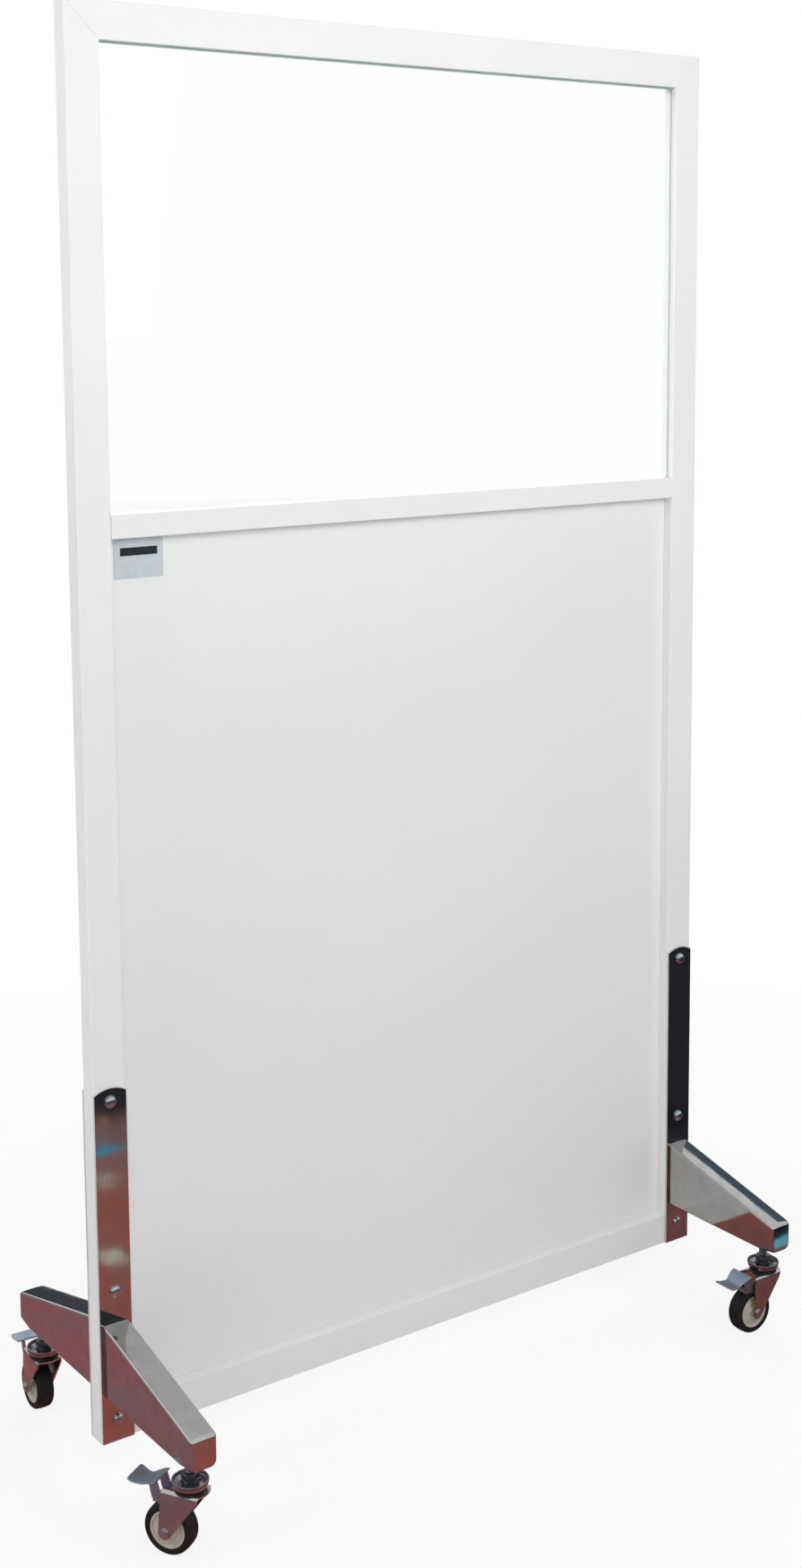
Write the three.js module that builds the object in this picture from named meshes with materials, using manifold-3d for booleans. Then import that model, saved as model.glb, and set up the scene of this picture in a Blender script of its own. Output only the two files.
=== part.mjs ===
// Rolling partition: a white metal frame with a clear pane above and a solid sandwich panel below, carried on
// four polished steel feet, each with a braked swivel caster. Millimetres, +Z up, the viewer's side is -Y.

import * as THREE from 'three';
import { mergeVertices } from 'three/addons/utils/BufferGeometryUtils.js';
import Module from 'manifold-3d';

const wasm = await Module();
wasm.setup();

// ---------- driving dimensions ----------

const WIDTH = 1000;                 // over the stiles
const DEPTH = 25;                   // of the frame section, front to back
const FACE = 45;                    // face width of the stiles and of the top and bottom rails
const BASE_Z = 62;                  // underside of the frame above the floor
const TOP_Z = 1828;                 // top of the frame above the floor
const MID_RAIL_Z = [1200, 1230];    // lower and upper edge of the middle rail
const REBATE = 10;                  // how far the panes reach in behind the frame's front lip
const LIP = 8.3;                    // thickness of that lip
const WALL = 2;                     // wall of the hollow sections
const EDGE = 1.5;                   // radius on the outer edges of the sections
const GAP = 0.3;                    // joint gap between neighbouring pieces
const SLACK = 2;                    // glazing clearance round a pane

const GLASS = 8;                    // pane thickness, centred in the frame
const SEAL = { drop: 2.5, thick: 1.8 };              // rubber strip under the top rail, in front of the pane
const PANEL_FRONT = 3.5;            // y of the lower panel's front face
const SKIN = 1.4;                   // face sheets of the lower panel
const CORE = 2;                     // lead sheet between them
const BOND = 0.1;                   // bond line
const LABEL = { x: [-445, -377], z: [1149, 1197.5], thick: 0.5 };

const PLATE = { width: 45, thick: 3, top: 517, crown: 6.5 };
const BOLT_Z = { low: 91, middle: 260, high: 506 };  // heights of the foot bolts
const BOLT = { shaft: 4, hole: 4.5, head: 8, dome: 5 };
const LEG = { width: 36, reach: 216.5, under: 124.5, rootTop: 219, noseTop: 166, wall: 2 };
const LEG_RADIUS = { top: 3, bottom: 2.5, corner: 9, nose: 6 };   // `corner` rounds the nose's two lower corners

const SWIVEL_Y = 197;               // caster axis from the middle plane of the frame
const STEM = { radius: 6, top: 141, bottom: 76.5, pin: 5, rivet: 8.5 };
const NUT = { across: 19, height: 8, pitch: 8.6 };   // stem nuts: two in the cup and one inside the leg
const CUP = { rim: 22.7, floor: 91.3, base: 88.6, top: 99.2 };
const BEARING = { inner: 7, outer: 19.5, low: 84.3, high: 88.2 };
const WHEEL = { radius: 32.5, width: 24, hub: 23.5, trail: 27, bore: 4.1 };
const FORK = { inside: 13, sheet: 2.5, top: 84, nose: 24, rear: 31, notch: [10, 10.6], eye: 8.5 };
const AXLE = { radius: 4, head: 6, headLength: 3.6 };
const PEDAL = { pivot: [26, 72], width: 36, waist: 28.4, sheet: 1.6, flange: [11.1, 12.7], pin: 2.4, travel: 8 };

// each caster: side of the frame (x, y), the way its wheel trails in degrees, and whether its pedal is down
const CASTERS = {
  front_left: { side: [-1, -1], heading: 121, pedalDown: false },
  front_right: { side: [1, -1], heading: 180, pedalDown: true },
  rear_left: { side: [-1, 1], heading: 86, pedalDown: true },
  rear_right: { side: [1, 1], heading: 59, pedalDown: false },
};

const ROUND = 20;                   // facets on a large round
const SMALL_ROUND = 12;             // facets on a small round

// ---------- finishes ----------

const finish = (color, roughness, metalness) => new THREE.MeshStandardMaterial({ color, roughness, metalness });
const WHITE_COAT = finish(0xf0f1ef, 0.4, 0.0);
const CLEAR_GLASS = new THREE.MeshStandardMaterial({
  color: 0xf4faf7, roughness: 0.04, metalness: 0, transparent: true, opacity: 0.3,
});
const SEAL_RUBBER = finish(0x6f7d78, 0.7, 0.0);
const LEAD = finish(0x5c6066, 0.6, 0.8);
const LABEL_FOIL = finish(0xc6ccd2, 0.35, 0.6);
const POLISHED_STEEL = finish(0xb8b9ba, 0.12, 1.0);
const ZINC = finish(0xa4aaae, 0.3, 1.0);
const DARK_SEAL = finish(0x1f2426, 0.6, 0.1);
const TYRE_RUBBER = finish(0x1b1c1d, 0.75, 0.0);
const HUB_PLASTIC = finish(0xc9c3ae, 0.5, 0.0);

// ---------- small geometry helpers ----------

function solidOf(geometry) {
  const bare = geometry.index ? geometry.toNonIndexed() : geometry.clone();
  bare.deleteAttribute('normal');
  bare.deleteAttribute('uv');
  const merged = mergeVertices(bare, 1e-4);
  return new wasm.Manifold(new wasm.Mesh({
    numProp: 3,
    vertProperties: new Float32Array(merged.attributes.position.array),
    triVerts: new Uint32Array(merged.index.array),
  }));
}

function geometryOf(solid) {
  const mesh = solid.getMesh();
  const geometry = new THREE.BufferGeometry();
  geometry.setAttribute('position', new THREE.BufferAttribute(new Float32Array(mesh.vertProperties), 3));
  geometry.setIndex(new THREE.BufferAttribute(new Uint32Array(mesh.triVerts), 1));
  return geometry;
}

const join = (...shapes) => geometryOf(shapes.map(solidOf).reduce((sum, part) => sum.add(part)));
const cut = (body, ...tools) => geometryOf(tools.map(solidOf).reduce((rest, tool) => rest.subtract(tool), solidOf(body)));
const common = (one, other) => geometryOf(solidOf(one).intersect(solidOf(other)));

// box between two corners
function block([x0, x1], [y0, y1], [z0, z1]) {
  const box = new THREE.BoxGeometry(x1 - x0, y1 - y0, z1 - z0);
  return box.translate((x0 + x1) / 2, (y0 + y1) / 2, (z0 + z1) / 2);
}

// closed outline from corners [x, y, radius]; a corner without a radius stays sharp
function outline(corners, PathType = THREE.Shape) {
  const path = new PathType();
  const at = (index) => new THREE.Vector2(...corners[(index + corners.length) % corners.length].slice(0, 2));
  corners.forEach(([x, y, radius = 0], index) => {
    const corner = new THREE.Vector2(x, y);
    const before = at(index - 1).sub(corner).setLength(radius).add(corner);
    const after = at(index + 1).sub(corner).setLength(radius).add(corner);
    if (index === 0) path.moveTo(before.x, before.y);
    else path.lineTo(before.x, before.y);
    if (radius > 0) path.quadraticCurveTo(x, y, after.x, after.y);
  });
  path.closePath();
  return path;
}

const circle = (x, y, radius) => new THREE.Path().absarc(x, y, radius, 0, 2 * Math.PI, true);

// extrusions of an outline drawn in (x, y), (y, z) or (x, z), between two stations on the third axis
const EXTRUDE = { bevelEnabled: false, steps: 1 };
function alongZ(shape, [from, to], curveSegments = 3) {
  return new THREE.ExtrudeGeometry(shape, { ...EXTRUDE, depth: to - from, curveSegments }).translate(0, 0, from);
}
function alongX(shape, span, curveSegments) {
  const turn = new THREE.Matrix4().makeBasis(
    new THREE.Vector3(0, 1, 0), new THREE.Vector3(0, 0, 1), new THREE.Vector3(1, 0, 0));
  return alongZ(shape, span, curveSegments).applyMatrix4(turn);
}
function alongY(shape, [from, to], curveSegments) {
  const turn = new THREE.Matrix4().makeBasis(
    new THREE.Vector3(1, 0, 0), new THREE.Vector3(0, 0, 1), new THREE.Vector3(0, -1, 0));
  return alongZ(shape, [-to, -from], curveSegments).applyMatrix4(turn);
}

// solids of revolution about Y and about Z from a closed [radius, station] profile
function turnedY(profile, facets = ROUND) {
  const points = profile.map(([radius, station]) => new THREE.Vector2(radius, station));
  if (points[0].x > 0) points.push(points[0].clone());
  return new THREE.LatheGeometry(points, facets);
}
const turnedZ = (profile, facets = ROUND) => turnedY(profile, facets).rotateX(Math.PI / 2);
const rodY = (radius, [from, to], x = 0, z = 0) =>
  turnedY([[0, from], [radius, from], [radius, to], [0, to]], SMALL_ROUND).translate(x, 0, z);

function part(name, geometry, material) {
  const mesh = new THREE.Mesh(geometry, material);
  mesh.name = name;
  return mesh;
}

// ---------- the frame ----------

const half = { width: WIDTH / 2, depth: DEPTH / 2 };
const lipBack = -half.depth + LIP;
const openingX = half.width - FACE;                 // half width of both openings
const rebateX = openingX + REBATE;
const boxFace = FACE - REBATE;                      // face width of the section's hollow box
const windowZ = [MID_RAIL_Z[1], TOP_Z - FACE];
const panelZ = [BASE_Z + FACE, MID_RAIL_Z[0]];

// section of a stile or rail: hollow box with a front lip; `a` runs inwards from the outer edge
function memberSection(place) {
  const section = outline([
    place(0, -half.depth, EDGE), place(FACE, -half.depth, EDGE), place(FACE, lipBack), place(boxFace, lipBack),
    place(boxFace, half.depth, EDGE), place(0, half.depth, EDGE),
  ]);
  const inner = half.depth - WALL;
  section.holes.push(outline([
    place(WALL, -inner), place(WALL, inner), place(boxFace - WALL, inner), place(boxFace - WALL, -inner),
  ], THREE.Path));
  return section;
}

// trapezoid that leaves a 45 degree mitre at both ends of a member, drawn as (along, across)
function mitreKeep(ends, outer, inwards) {
  const reach = FACE + 1;
  return [
    [ends[0] - 1 + GAP / 2, outer - inwards], [ends[1] + 1 - GAP / 2, outer - inwards],
    [ends[1] - reach - GAP / 2, outer + inwards * reach], [ends[0] + reach + GAP / 2, outer + inwards * reach],
  ];
}

const boltHoles = (x) => Object.values(BOLT_Z).map((z) => rodY(BOLT.hole, [-30, 30], x, z));

function stile(name, side) {
  const outer = side * half.width;
  const bar = alongZ(memberSection((a, b, r) => [outer - side * a, b, r]), [BASE_Z, TOP_Z]);
  const keep = outline(mitreKeep([BASE_Z, TOP_Z], outer, -side).map(([z, x]) => [x, z]));
  const mitred = common(bar, alongY(keep, [-half.depth - 1, half.depth + 1]));
  return part(name, cut(mitred, ...boltHoles(outer - side * FACE / 2)), WHITE_COAT);
}

function rail(name, outer, inwards) {
  const bar = alongX(memberSection((a, b, r) => [b, outer + inwards * a, r]), [-half.width, half.width]);
  const keep = outline(mitreKeep([-half.width, half.width], outer, inwards));
  return part(name, common(bar, alongY(keep, [-half.depth - 1, half.depth + 1])), WHITE_COAT);
}

function middleRail() {
  const [low, high] = MID_RAIL_Z;
  const section = outline([
    [-half.depth, low, EDGE], [lipBack, low], [lipBack, low + REBATE], [half.depth, low + REBATE, EDGE],
    [half.depth, high - REBATE, EDGE], [lipBack, high - REBATE], [lipBack, high], [-half.depth, high, EDGE],
  ]);
  const inner = half.depth - WALL;
  section.holes.push(outline([
    [-inner, low + REBATE + WALL], [-inner, high - REBATE - WALL],
    [inner, high - REBATE - WALL], [inner, low + REBATE + WALL],
  ], THREE.Path));
  const bar = alongX(section, [-rebateX + GAP, rebateX - GAP]);
  const lipEnd = (side) => block(
    side < 0 ? [-rebateX - 1, -openingX + GAP] : [openingX - GAP, rebateX + 1],
    [-half.depth - 1, lipBack + GAP], [low - 1, high + 1]);
  return part('mid_rail', cut(bar, lipEnd(-1), lipEnd(1)), WHITE_COAT);
}

// ring round an opening, filling the rebate between two depths
function bead(name, [low, high], depths, material) {
  const outer = block([-rebateX + GAP, rebateX - GAP], depths, [low - REBATE + GAP, high + REBATE - GAP]);
  const inner = block([-openingX, openingX], [depths[0] - 1, depths[1] + 1], [low, high]);
  return part(name, cut(outer, inner), material);
}

const paneX = [-rebateX + SLACK, rebateX - SLACK];
const paneZ = ([low, high]) => [low - REBATE + SLACK, high + REBATE - SLACK];

function glazing() {
  return [
    part('window_pane', block(paneX, [-GLASS / 2, GLASS / 2], paneZ(windowZ)), CLEAR_GLASS),
    part('window_seal', block([-openingX + GAP, openingX - GAP], [lipBack - SEAL.thick, lipBack],
      [windowZ[1] - SEAL.drop, windowZ[1]]), SEAL_RUBBER),
    bead('window_bead', windowZ, [GLASS / 2 + GAP, half.depth], WHITE_COAT),
  ];
}

function lowerPanel() {
  const coreY = PANEL_FRONT + SKIN + BOND;
  const backY = coreY + CORE + BOND;
  const sheet = (name, y, thick, material) => part(name, block(paneX, [y, y + thick], paneZ(panelZ)), material);
  return [
    sheet('panel_front_skin', PANEL_FRONT, SKIN, WHITE_COAT),
    sheet('panel_lead_core', coreY, CORE, LEAD),
    sheet('panel_back_skin', backY, SKIN, WHITE_COAT),
    bead('panel_spacer', panelZ, [lipBack + GAP, PANEL_FRONT - GAP], WHITE_COAT),
    bead('panel_bead', panelZ, [backY + SKIN + GAP, half.depth], WHITE_COAT),
    part('label_plate', block(LABEL.x, [PANEL_FRONT - BOND - LABEL.thick, PANEL_FRONT - BOND], LABEL.z), LABEL_FOIL),
  ];
}

// ---------- the feet ----------

const footX = half.width - PLATE.width / 2;          // middle of a plate, its bolts, leg and caster
const plateFace = half.depth + BOND + PLATE.thick;   // outer face of a plate from the middle plane

// plate with a crowned top edge: an arc whose rise over the plate's width is PLATE.crown
function plateGeometry() {
  const w = PLATE.width / 2;
  const crownRadius = (w * w + PLATE.crown ** 2) / (2 * PLATE.crown);
  const centre = PLATE.top + PLATE.crown - crownRadius;
  const start = Math.atan2(PLATE.top - centre, w);
  const shape = new THREE.Shape();
  shape.moveTo(-w, BASE_Z);
  shape.lineTo(w, BASE_Z);
  shape.absarc(0, centre, crownRadius, start, Math.PI - start, false);
  shape.closePath();
  Object.values(BOLT_Z).forEach((z) => shape.holes.push(circle(0, z, BOLT.hole)));
  return alongY(shape, [-plateFace, -half.depth - BOND], SMALL_ROUND / 2);
}

// cross-section of the leg as a ring of points, shrunk all round by `inset`, its lower corners rounded to `bottom`
function legRing(y, top, inset, bottom = LEG_RADIUS.bottom) {
  const steps = 3;
  const w = LEG.width / 2 - inset;
  const low = LEG.under + inset;
  const high = top - inset;
  const arc = (x, z, radius, quarter) => Array.from({ length: steps + 1 }, (_, i) => {
    const angle = (quarter + i / steps) * Math.PI / 2;
    return new THREE.Vector3(x + radius * Math.cos(angle), y, z + radius * Math.sin(angle));
  });
  const rTop = Math.max(LEG_RADIUS.top - inset, 1);
  const rLow = Math.max(bottom - inset, 1);
  return [
    ...arc(w - rTop, high - rTop, rTop, 0), ...arc(-w + rTop, high - rTop, rTop, 1),
    ...arc(-w + rLow, low + rLow, rLow, 2), ...arc(w - rLow, low + rLow, rLow, 3),
  ];
}

// closed skin over a run of rings, with a flat cap on the first and last ring
function skinOver(rings) {
  const count = rings[0].length;
  const indices = [];
  for (let r = 0; r + 1 < rings.length; r += 1) {
    for (let i = 0; i < count; i += 1) {
      const j = (i + 1) % count;
      const [a, b] = [r * count + i, r * count + j];
      indices.push(a, b, a + count, b, b + count, a + count);
    }
  }
  const last = (rings.length - 1) * count;
  for (let i = 1; i + 1 < count; i += 1) {
    indices.push(0, i + 1, i, last, last + i, last + i + 1);
  }
  const geometry = new THREE.BufferGeometry();
  geometry.setFromPoints(rings.flat());
  geometry.setIndex(indices);
  return geometry;
}

// wedge-shaped sheet-metal leg: closed nose, open towards the plate, with a hole for the caster stem
function legGeometry() {
  const root = -plateFace - GAP;
  const nose = -plateFace - LEG.reach;
  const topAt = (y) => THREE.MathUtils.mapLinear(y, root, nose, LEG.rootTop, LEG.noseTop);
  const bendStart = nose + 3 * LEG_RADIUS.corner;
  const outer = [root, bendStart].map((y) => legRing(y, topAt(y), 0));
  const noseSteps = 3;
  for (let i = 0; i <= noseSteps; i += 1) {
    const angle = (i / noseSteps) * Math.PI / 2;
    const y = nose + LEG_RADIUS.nose * (1 - Math.sin(angle));
    const inset = LEG_RADIUS.nose * (1 - Math.cos(angle)) * 0.6;
    outer.push(legRing(y, topAt(y), inset, LEG_RADIUS.corner));
  }
  const inner = [root + 1, bendStart].map((y) => legRing(y, topAt(y), LEG.wall));
  inner.push(legRing(nose + LEG.wall + 2, topAt(nose), LEG.wall + 1, LEG_RADIUS.corner));
  const hole = turnedZ([[0, LEG.under - 5], [STEM.radius + GAP, LEG.under - 5],
    [STEM.radius + GAP, LEG.under + 5], [0, LEG.under + 5]], SMALL_ROUND).translate(0, -SWIVEL_Y, 0);
  return cut(skinOver(outer), skinOver(inner), hole);
}

function foot(corner, [sideX, sideY]) {
  const at = new THREE.Group();
  at.position.x = sideX * footX;
  if (sideY > 0) at.rotation.z = Math.PI;
  at.add(
    part(`foot_plate_${corner}`, plateGeometry(), POLISHED_STEEL),
    part(`foot_leg_${corner}`, legGeometry(), POLISHED_STEEL));
  return at;
}

// through-bolts, each with a dome head in front and a dome nut behind
function footBolts() {
  const seat = plateFace + BOND;
  const dome = (side) => [
    [BOLT.head, side * seat], [BOLT.head, side * (seat + 1.2)], [BOLT.head * 0.78, side * (seat + BOLT.dome * 0.75)],
    [BOLT.head * 0.35, side * (seat + BOLT.dome)], [0, side * (seat + BOLT.dome)],
  ];
  const bolt = turnedY([...dome(-1).reverse(), [BOLT.shaft, -seat], [BOLT.shaft, seat], ...dome(1)], SMALL_ROUND);
  return Object.entries({ left: -footX, right: footX }).flatMap(([side, x]) =>
    Object.entries(BOLT_Z).map(([level, z]) => {
      const mesh = part(`foot_bolt_${side}_${level}`, bolt.clone(), ZINC);
      mesh.position.set(x, 0, z);
      return mesh;
    }));
}

// ---------- the casters ----------
// In a caster's own frame the swivel axis is Z at the origin and the wheel trails towards +X, its axle along Y.

const forkOutside = FORK.inside + FORK.sheet;

// riveted pin below, threaded stem above, with its nuts
function stemGeometry() {
  const stem = turnedZ([
    [0, STEM.bottom], [STEM.rivet, STEM.bottom], [STEM.rivet, STEM.bottom + 3], [STEM.pin, STEM.bottom + 4],
    [STEM.pin, CUP.base], [STEM.radius, CUP.base], [STEM.radius, STEM.top - 1], [STEM.radius - 1, STEM.top], [0, STEM.top],
  ], SMALL_ROUND);
  const levels = [CUP.floor + GAP, CUP.floor + GAP + NUT.pitch, LEG.under + LEG.wall + 1];
  return join(stem, ...levels.map(hexNut));
}

function cupGeometry() {
  const bore = STEM.radius + GAP;
  return turnedZ([
    [bore, CUP.base], [16.5, CUP.base], [19.4, CUP.base + 2], [CUP.rim - 0.6, CUP.top - 5], [CUP.rim, CUP.top - 0.8],
    [CUP.rim - 0.8, CUP.top], [CUP.rim - 1.9, CUP.top - 0.9], [CUP.rim - 2.9, CUP.top - 4.6], [15.5, CUP.floor],
    [bore, CUP.floor],
  ]);
}

function hexNut(z) {
  const corner = NUT.across / Math.sqrt(3);
  const turns = [0, 1, 2, 3, 4, 5].map((step) => step * Math.PI / 3);
  const shape = new THREE.Shape(turns.map((turn) =>
    new THREE.Vector2(corner * Math.cos(turn), corner * Math.sin(turn))));
  return alongZ(shape, [z, z + NUT.height]);
}

// folded fork: a round-nosed top plate, notched behind for the wheel, with a tapering leg down each side to the axle
function forkGeometry() {
  const noseAngle = Math.asin(forkOutside / FORK.nose);
  const crown = new THREE.Shape();
  const [depth, half] = FORK.notch;
  crown.moveTo(FORK.rear, -forkOutside);
  crown.lineTo(FORK.rear, -half - 1);
  crown.lineTo(FORK.rear - depth, -half);
  crown.lineTo(FORK.rear - depth, half);
  crown.lineTo(FORK.rear, half + 1);
  crown.lineTo(FORK.rear, forkOutside);
  crown.absarc(0, 0, FORK.nose, Math.PI - noseAngle, Math.PI + noseAngle, false);
  crown.closePath();
  crown.holes.push(circle(0, 0, STEM.pin + 0.5));
  const crownPlate = alongZ(crown, [FORK.top - FORK.sheet, FORK.top], SMALL_ROUND / 2);

  const noseX = -FORK.nose * Math.cos(noseAngle);
  const leg = new THREE.Shape();
  leg.moveTo(noseX, FORK.top);
  leg.lineTo(noseX + 2, FORK.top - 7);
  leg.absarc(WHEEL.trail, WHEEL.radius, FORK.eye, Math.PI * 1.22, Math.PI * 2, false);
  leg.lineTo(FORK.rear, FORK.top);
  leg.closePath();
  leg.holes.push(circle(WHEEL.trail, WHEEL.radius, AXLE.radius + 0.2));
  leg.holes.push(circle(...PEDAL.pivot, PEDAL.pin + 0.2));
  const legs = [[-forkOutside, -FORK.inside], [FORK.inside, forkOutside]].map((span) => alongY(leg, span, 5));
  return join(crownPlate, ...legs);
}

const bearingGeometry = () => turnedZ([
  [BEARING.inner, BEARING.low], [BEARING.outer, BEARING.low],
  [BEARING.outer, BEARING.high], [BEARING.inner, BEARING.high],
]);

// tyre and hub, turned about the axle: one side of the profile, from the bore outwards, and its mirror image
const mirrored = (side) => [...side.map(([radius, station]) => [radius, -station]), ...side.slice().reverse()];

function tyreGeometry() {
  const w = WHEEL.width / 2;
  const r = WHEEL.radius;
  const bore = WHEEL.hub + GAP;
  return turnedY(mirrored([[bore, w - 1.2], [bore + 3.2, w], [r - 3, w - 0.4], [r - 0.7, w - 3], [r, w - 7]]));
}

function hubGeometry() {
  return turnedY(mirrored([[WHEEL.bore, 12], [8.5, 12], [9.8, 9.6], [19.8, 8.2], [21.4, 10.6], [WHEEL.hub, 10.6]]));
}

// axle bolt with a dome head on one side and a nut on the other
function axleGeometry() {
  const seat = forkOutside + 0.2;
  const end = seat + AXLE.headLength;
  const nut = AXLE.head + 0.8;
  return turnedY([
    [0, -end], [AXLE.head * 0.55, -end], [AXLE.head, -end + 1.6], [AXLE.head, -seat], [AXLE.radius, -seat],
    [AXLE.radius, seat], [nut, seat], [nut, end], [AXLE.radius, end], [AXLE.radius, end + 1], [0, end + 1],
  ], SMALL_ROUND);
}

// brake pedal: a two-lobed foot tab on two side flanges, with its pivot pin and the shoe above the tyre
function pedalGeometry() {
  const t = PEDAL.sheet;
  const w = PEDAL.width / 2;
  const tabLine = [[38.2, 92.2], [44.5, 90.6], [51, 87.4], [59, 84.8], [66, 85.2], [72.5, 87.1], [78, 89.6]];
  const side = [[30, w], [45.5, w], [52, w - 2.2], [59, PEDAL.waist / 2], [66, w - 2.4], [73, w - 0.4], [80, w - 0.4]];
  const tabPlan = outline([...side, ...side.map(([x, y]) => [x, -y]).reverse()]);
  const tab = common(
    alongY(outline([...tabLine, ...tabLine.map(([x, z]) => [x, z + t]).reverse()]), [-w, w]),
    alongZ(tabPlan, [60, 120]));
  const flangeShape = outline([
    [21, 68.5], [29, 66], [36, 64.6], [46, 71], [50, 88.2 + t / 2], [44.5, 90.6 + t / 2], [38.4, 92.2 + t / 2],
    [34, 79.5], [21, 76.5],
  ]);
  const [inside, outside] = PEDAL.flange;
  const flanges = [[-outside, -inside], [inside, outside]].map((span) => alongY(flangeShape, span));
  const shoe = block([38.5, 45.5], [-inside - 0.5, inside + 0.5], [65.6, 69.6]);
  const [pivotX, pivotZ] = PEDAL.pivot;
  const pinEnd = forkOutside + 0.3;
  const pin = turnedY([[0, -pinEnd - 1.4], [4, -pinEnd - 1.4], [4, -pinEnd], [PEDAL.pin, -pinEnd], [PEDAL.pin, pinEnd],
    [4, pinEnd], [4, pinEnd + 1.4], [0, pinEnd + 1.4]], SMALL_ROUND).translate(pivotX, 0, pivotZ);
  return join(tab, ...flanges, shoe, pin);
}

// the pedal swings about its pin; pressed, it is turned down by PEDAL.travel degrees
function pedalAt(pedalDown) {
  const [x, z] = PEDAL.pivot;
  const geometry = pedalGeometry();
  if (!pedalDown) return geometry;
  return geometry.translate(-x, 0, -z).rotateY(THREE.MathUtils.degToRad(PEDAL.travel)).translate(x, 0, z);
}

function caster(corner, { side: [sx, sy], heading, pedalDown }) {
  const at = new THREE.Group();
  at.position.set(sx * footX, sy * SWIVEL_Y, 0);
  const turning = new THREE.Group();
  turning.rotation.z = THREE.MathUtils.degToRad(heading);
  const onAxle = (mesh) => {
    mesh.position.set(WHEEL.trail, 0, WHEEL.radius);
    return mesh;
  };
  turning.add(
    part(`caster_fork_${corner}`, forkGeometry(), POLISHED_STEEL),
    part(`caster_bearing_${corner}`, bearingGeometry(), DARK_SEAL),
    onAxle(part(`caster_axle_${corner}`, axleGeometry(), ZINC)),
    onAxle(part(`caster_tyre_${corner}`, tyreGeometry(), TYRE_RUBBER)),
    onAxle(part(`caster_hub_${corner}`, hubGeometry(), HUB_PLASTIC)),
    part(`brake_pedal_${corner}`, pedalAt(pedalDown), ZINC));
  at.add(
    part(`caster_stem_${corner}`, stemGeometry(), ZINC),
    part(`caster_cup_${corner}`, cupGeometry(), POLISHED_STEEL),
    turning);
  return at;
}

// ---------- the whole partition ----------

const partition = new THREE.Group();
partition.add(
  stile('left_stile', -1), stile('right_stile', 1), rail('top_rail', TOP_Z, -1), rail('bottom_rail', BASE_Z, 1),
  middleRail(), ...glazing(), ...lowerPanel(), ...footBolts());
for (const [corner, setting] of Object.entries(CASTERS)) {
  partition.add(foot(corner, setting.side), caster(corner, setting));
}

// the origin is the middle of the footprint of the whole object, on the floor
partition.updateMatrixWorld(true);
const extent = new THREE.Box3().setFromObject(partition, true);
const middle = extent.getCenter(new THREE.Vector3());
partition.position.set(-middle.x, -middle.y, -extent.min.z);

export default partition;
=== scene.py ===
"""Looks of a rolling partition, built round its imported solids.

A white frame holds a clear pane above and a solid panel below, and stands on four polished steel feet, each with
a braked swivel caster. Shapes are worked out in millimetres and stored in metres, +Z up, the viewer's side is -Y.
"""

import logging
import math
from abc import ABC, abstractmethod
from dataclasses import dataclass, field
from enum import Enum

import bmesh
import bpy
import numpy as np
from mathutils import Matrix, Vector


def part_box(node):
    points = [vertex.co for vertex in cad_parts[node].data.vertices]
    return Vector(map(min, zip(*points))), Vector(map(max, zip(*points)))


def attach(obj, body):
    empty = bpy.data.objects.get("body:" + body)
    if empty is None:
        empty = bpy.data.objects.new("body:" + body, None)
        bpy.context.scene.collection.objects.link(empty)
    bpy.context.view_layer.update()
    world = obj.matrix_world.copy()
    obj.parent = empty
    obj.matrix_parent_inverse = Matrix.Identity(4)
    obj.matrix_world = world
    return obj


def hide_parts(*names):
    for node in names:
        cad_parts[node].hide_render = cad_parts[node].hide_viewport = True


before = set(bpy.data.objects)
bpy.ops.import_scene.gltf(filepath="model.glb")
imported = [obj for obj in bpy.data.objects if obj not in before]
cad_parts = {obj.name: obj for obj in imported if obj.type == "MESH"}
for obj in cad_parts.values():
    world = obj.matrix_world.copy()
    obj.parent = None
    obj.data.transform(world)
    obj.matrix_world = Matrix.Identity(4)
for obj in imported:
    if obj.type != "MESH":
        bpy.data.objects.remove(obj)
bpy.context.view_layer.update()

Array = np.ndarray
Profile = list[tuple[float, ...]]
Colour = tuple[float, float, float]
Triple = tuple[float, float, float]
Socket = bpy.types.NodeSocket
MM = 0.001
CREASE = 32.0
PHOTO_SIZE = (895, 1749)
log = logging.getLogger("partition")


class Slot(Enum):
    """Material slots that the new pieces stand for."""

    LABEL_FOIL = "label_foil"
    POLISHED_STEEL = "polished_steel"
    ZINC_STEEL = "zinc_steel"
    DARK_SEAL = "dark_seal"
    TYRE_RUBBER = "tyre_rubber"
    HUB_PLASTIC = "hub_plastic"


class Corner(Enum):
    """The four feet, each with its side of the frame as (x, y) signs and whether its brake is pressed at rest."""

    FRONT_LEFT = ("front_left", (-1, -1), False)
    FRONT_RIGHT = ("front_right", (1, -1), True)
    REAR_LEFT = ("rear_left", (-1, 1), True)
    REAR_RIGHT = ("rear_right", (1, 1), False)

    @property
    def label(self) -> str:
        """Name of the corner as the solids use it."""
        return self.value[0]

    @property
    def side(self) -> tuple[int, int]:
        """Signs of the corner's x and y."""
        return self.value[1]

    @property
    def pressed(self) -> bool:
        """Whether the brake pedal is down at rest."""
        return self.value[2]


# ---------- surfaces ----------


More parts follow.
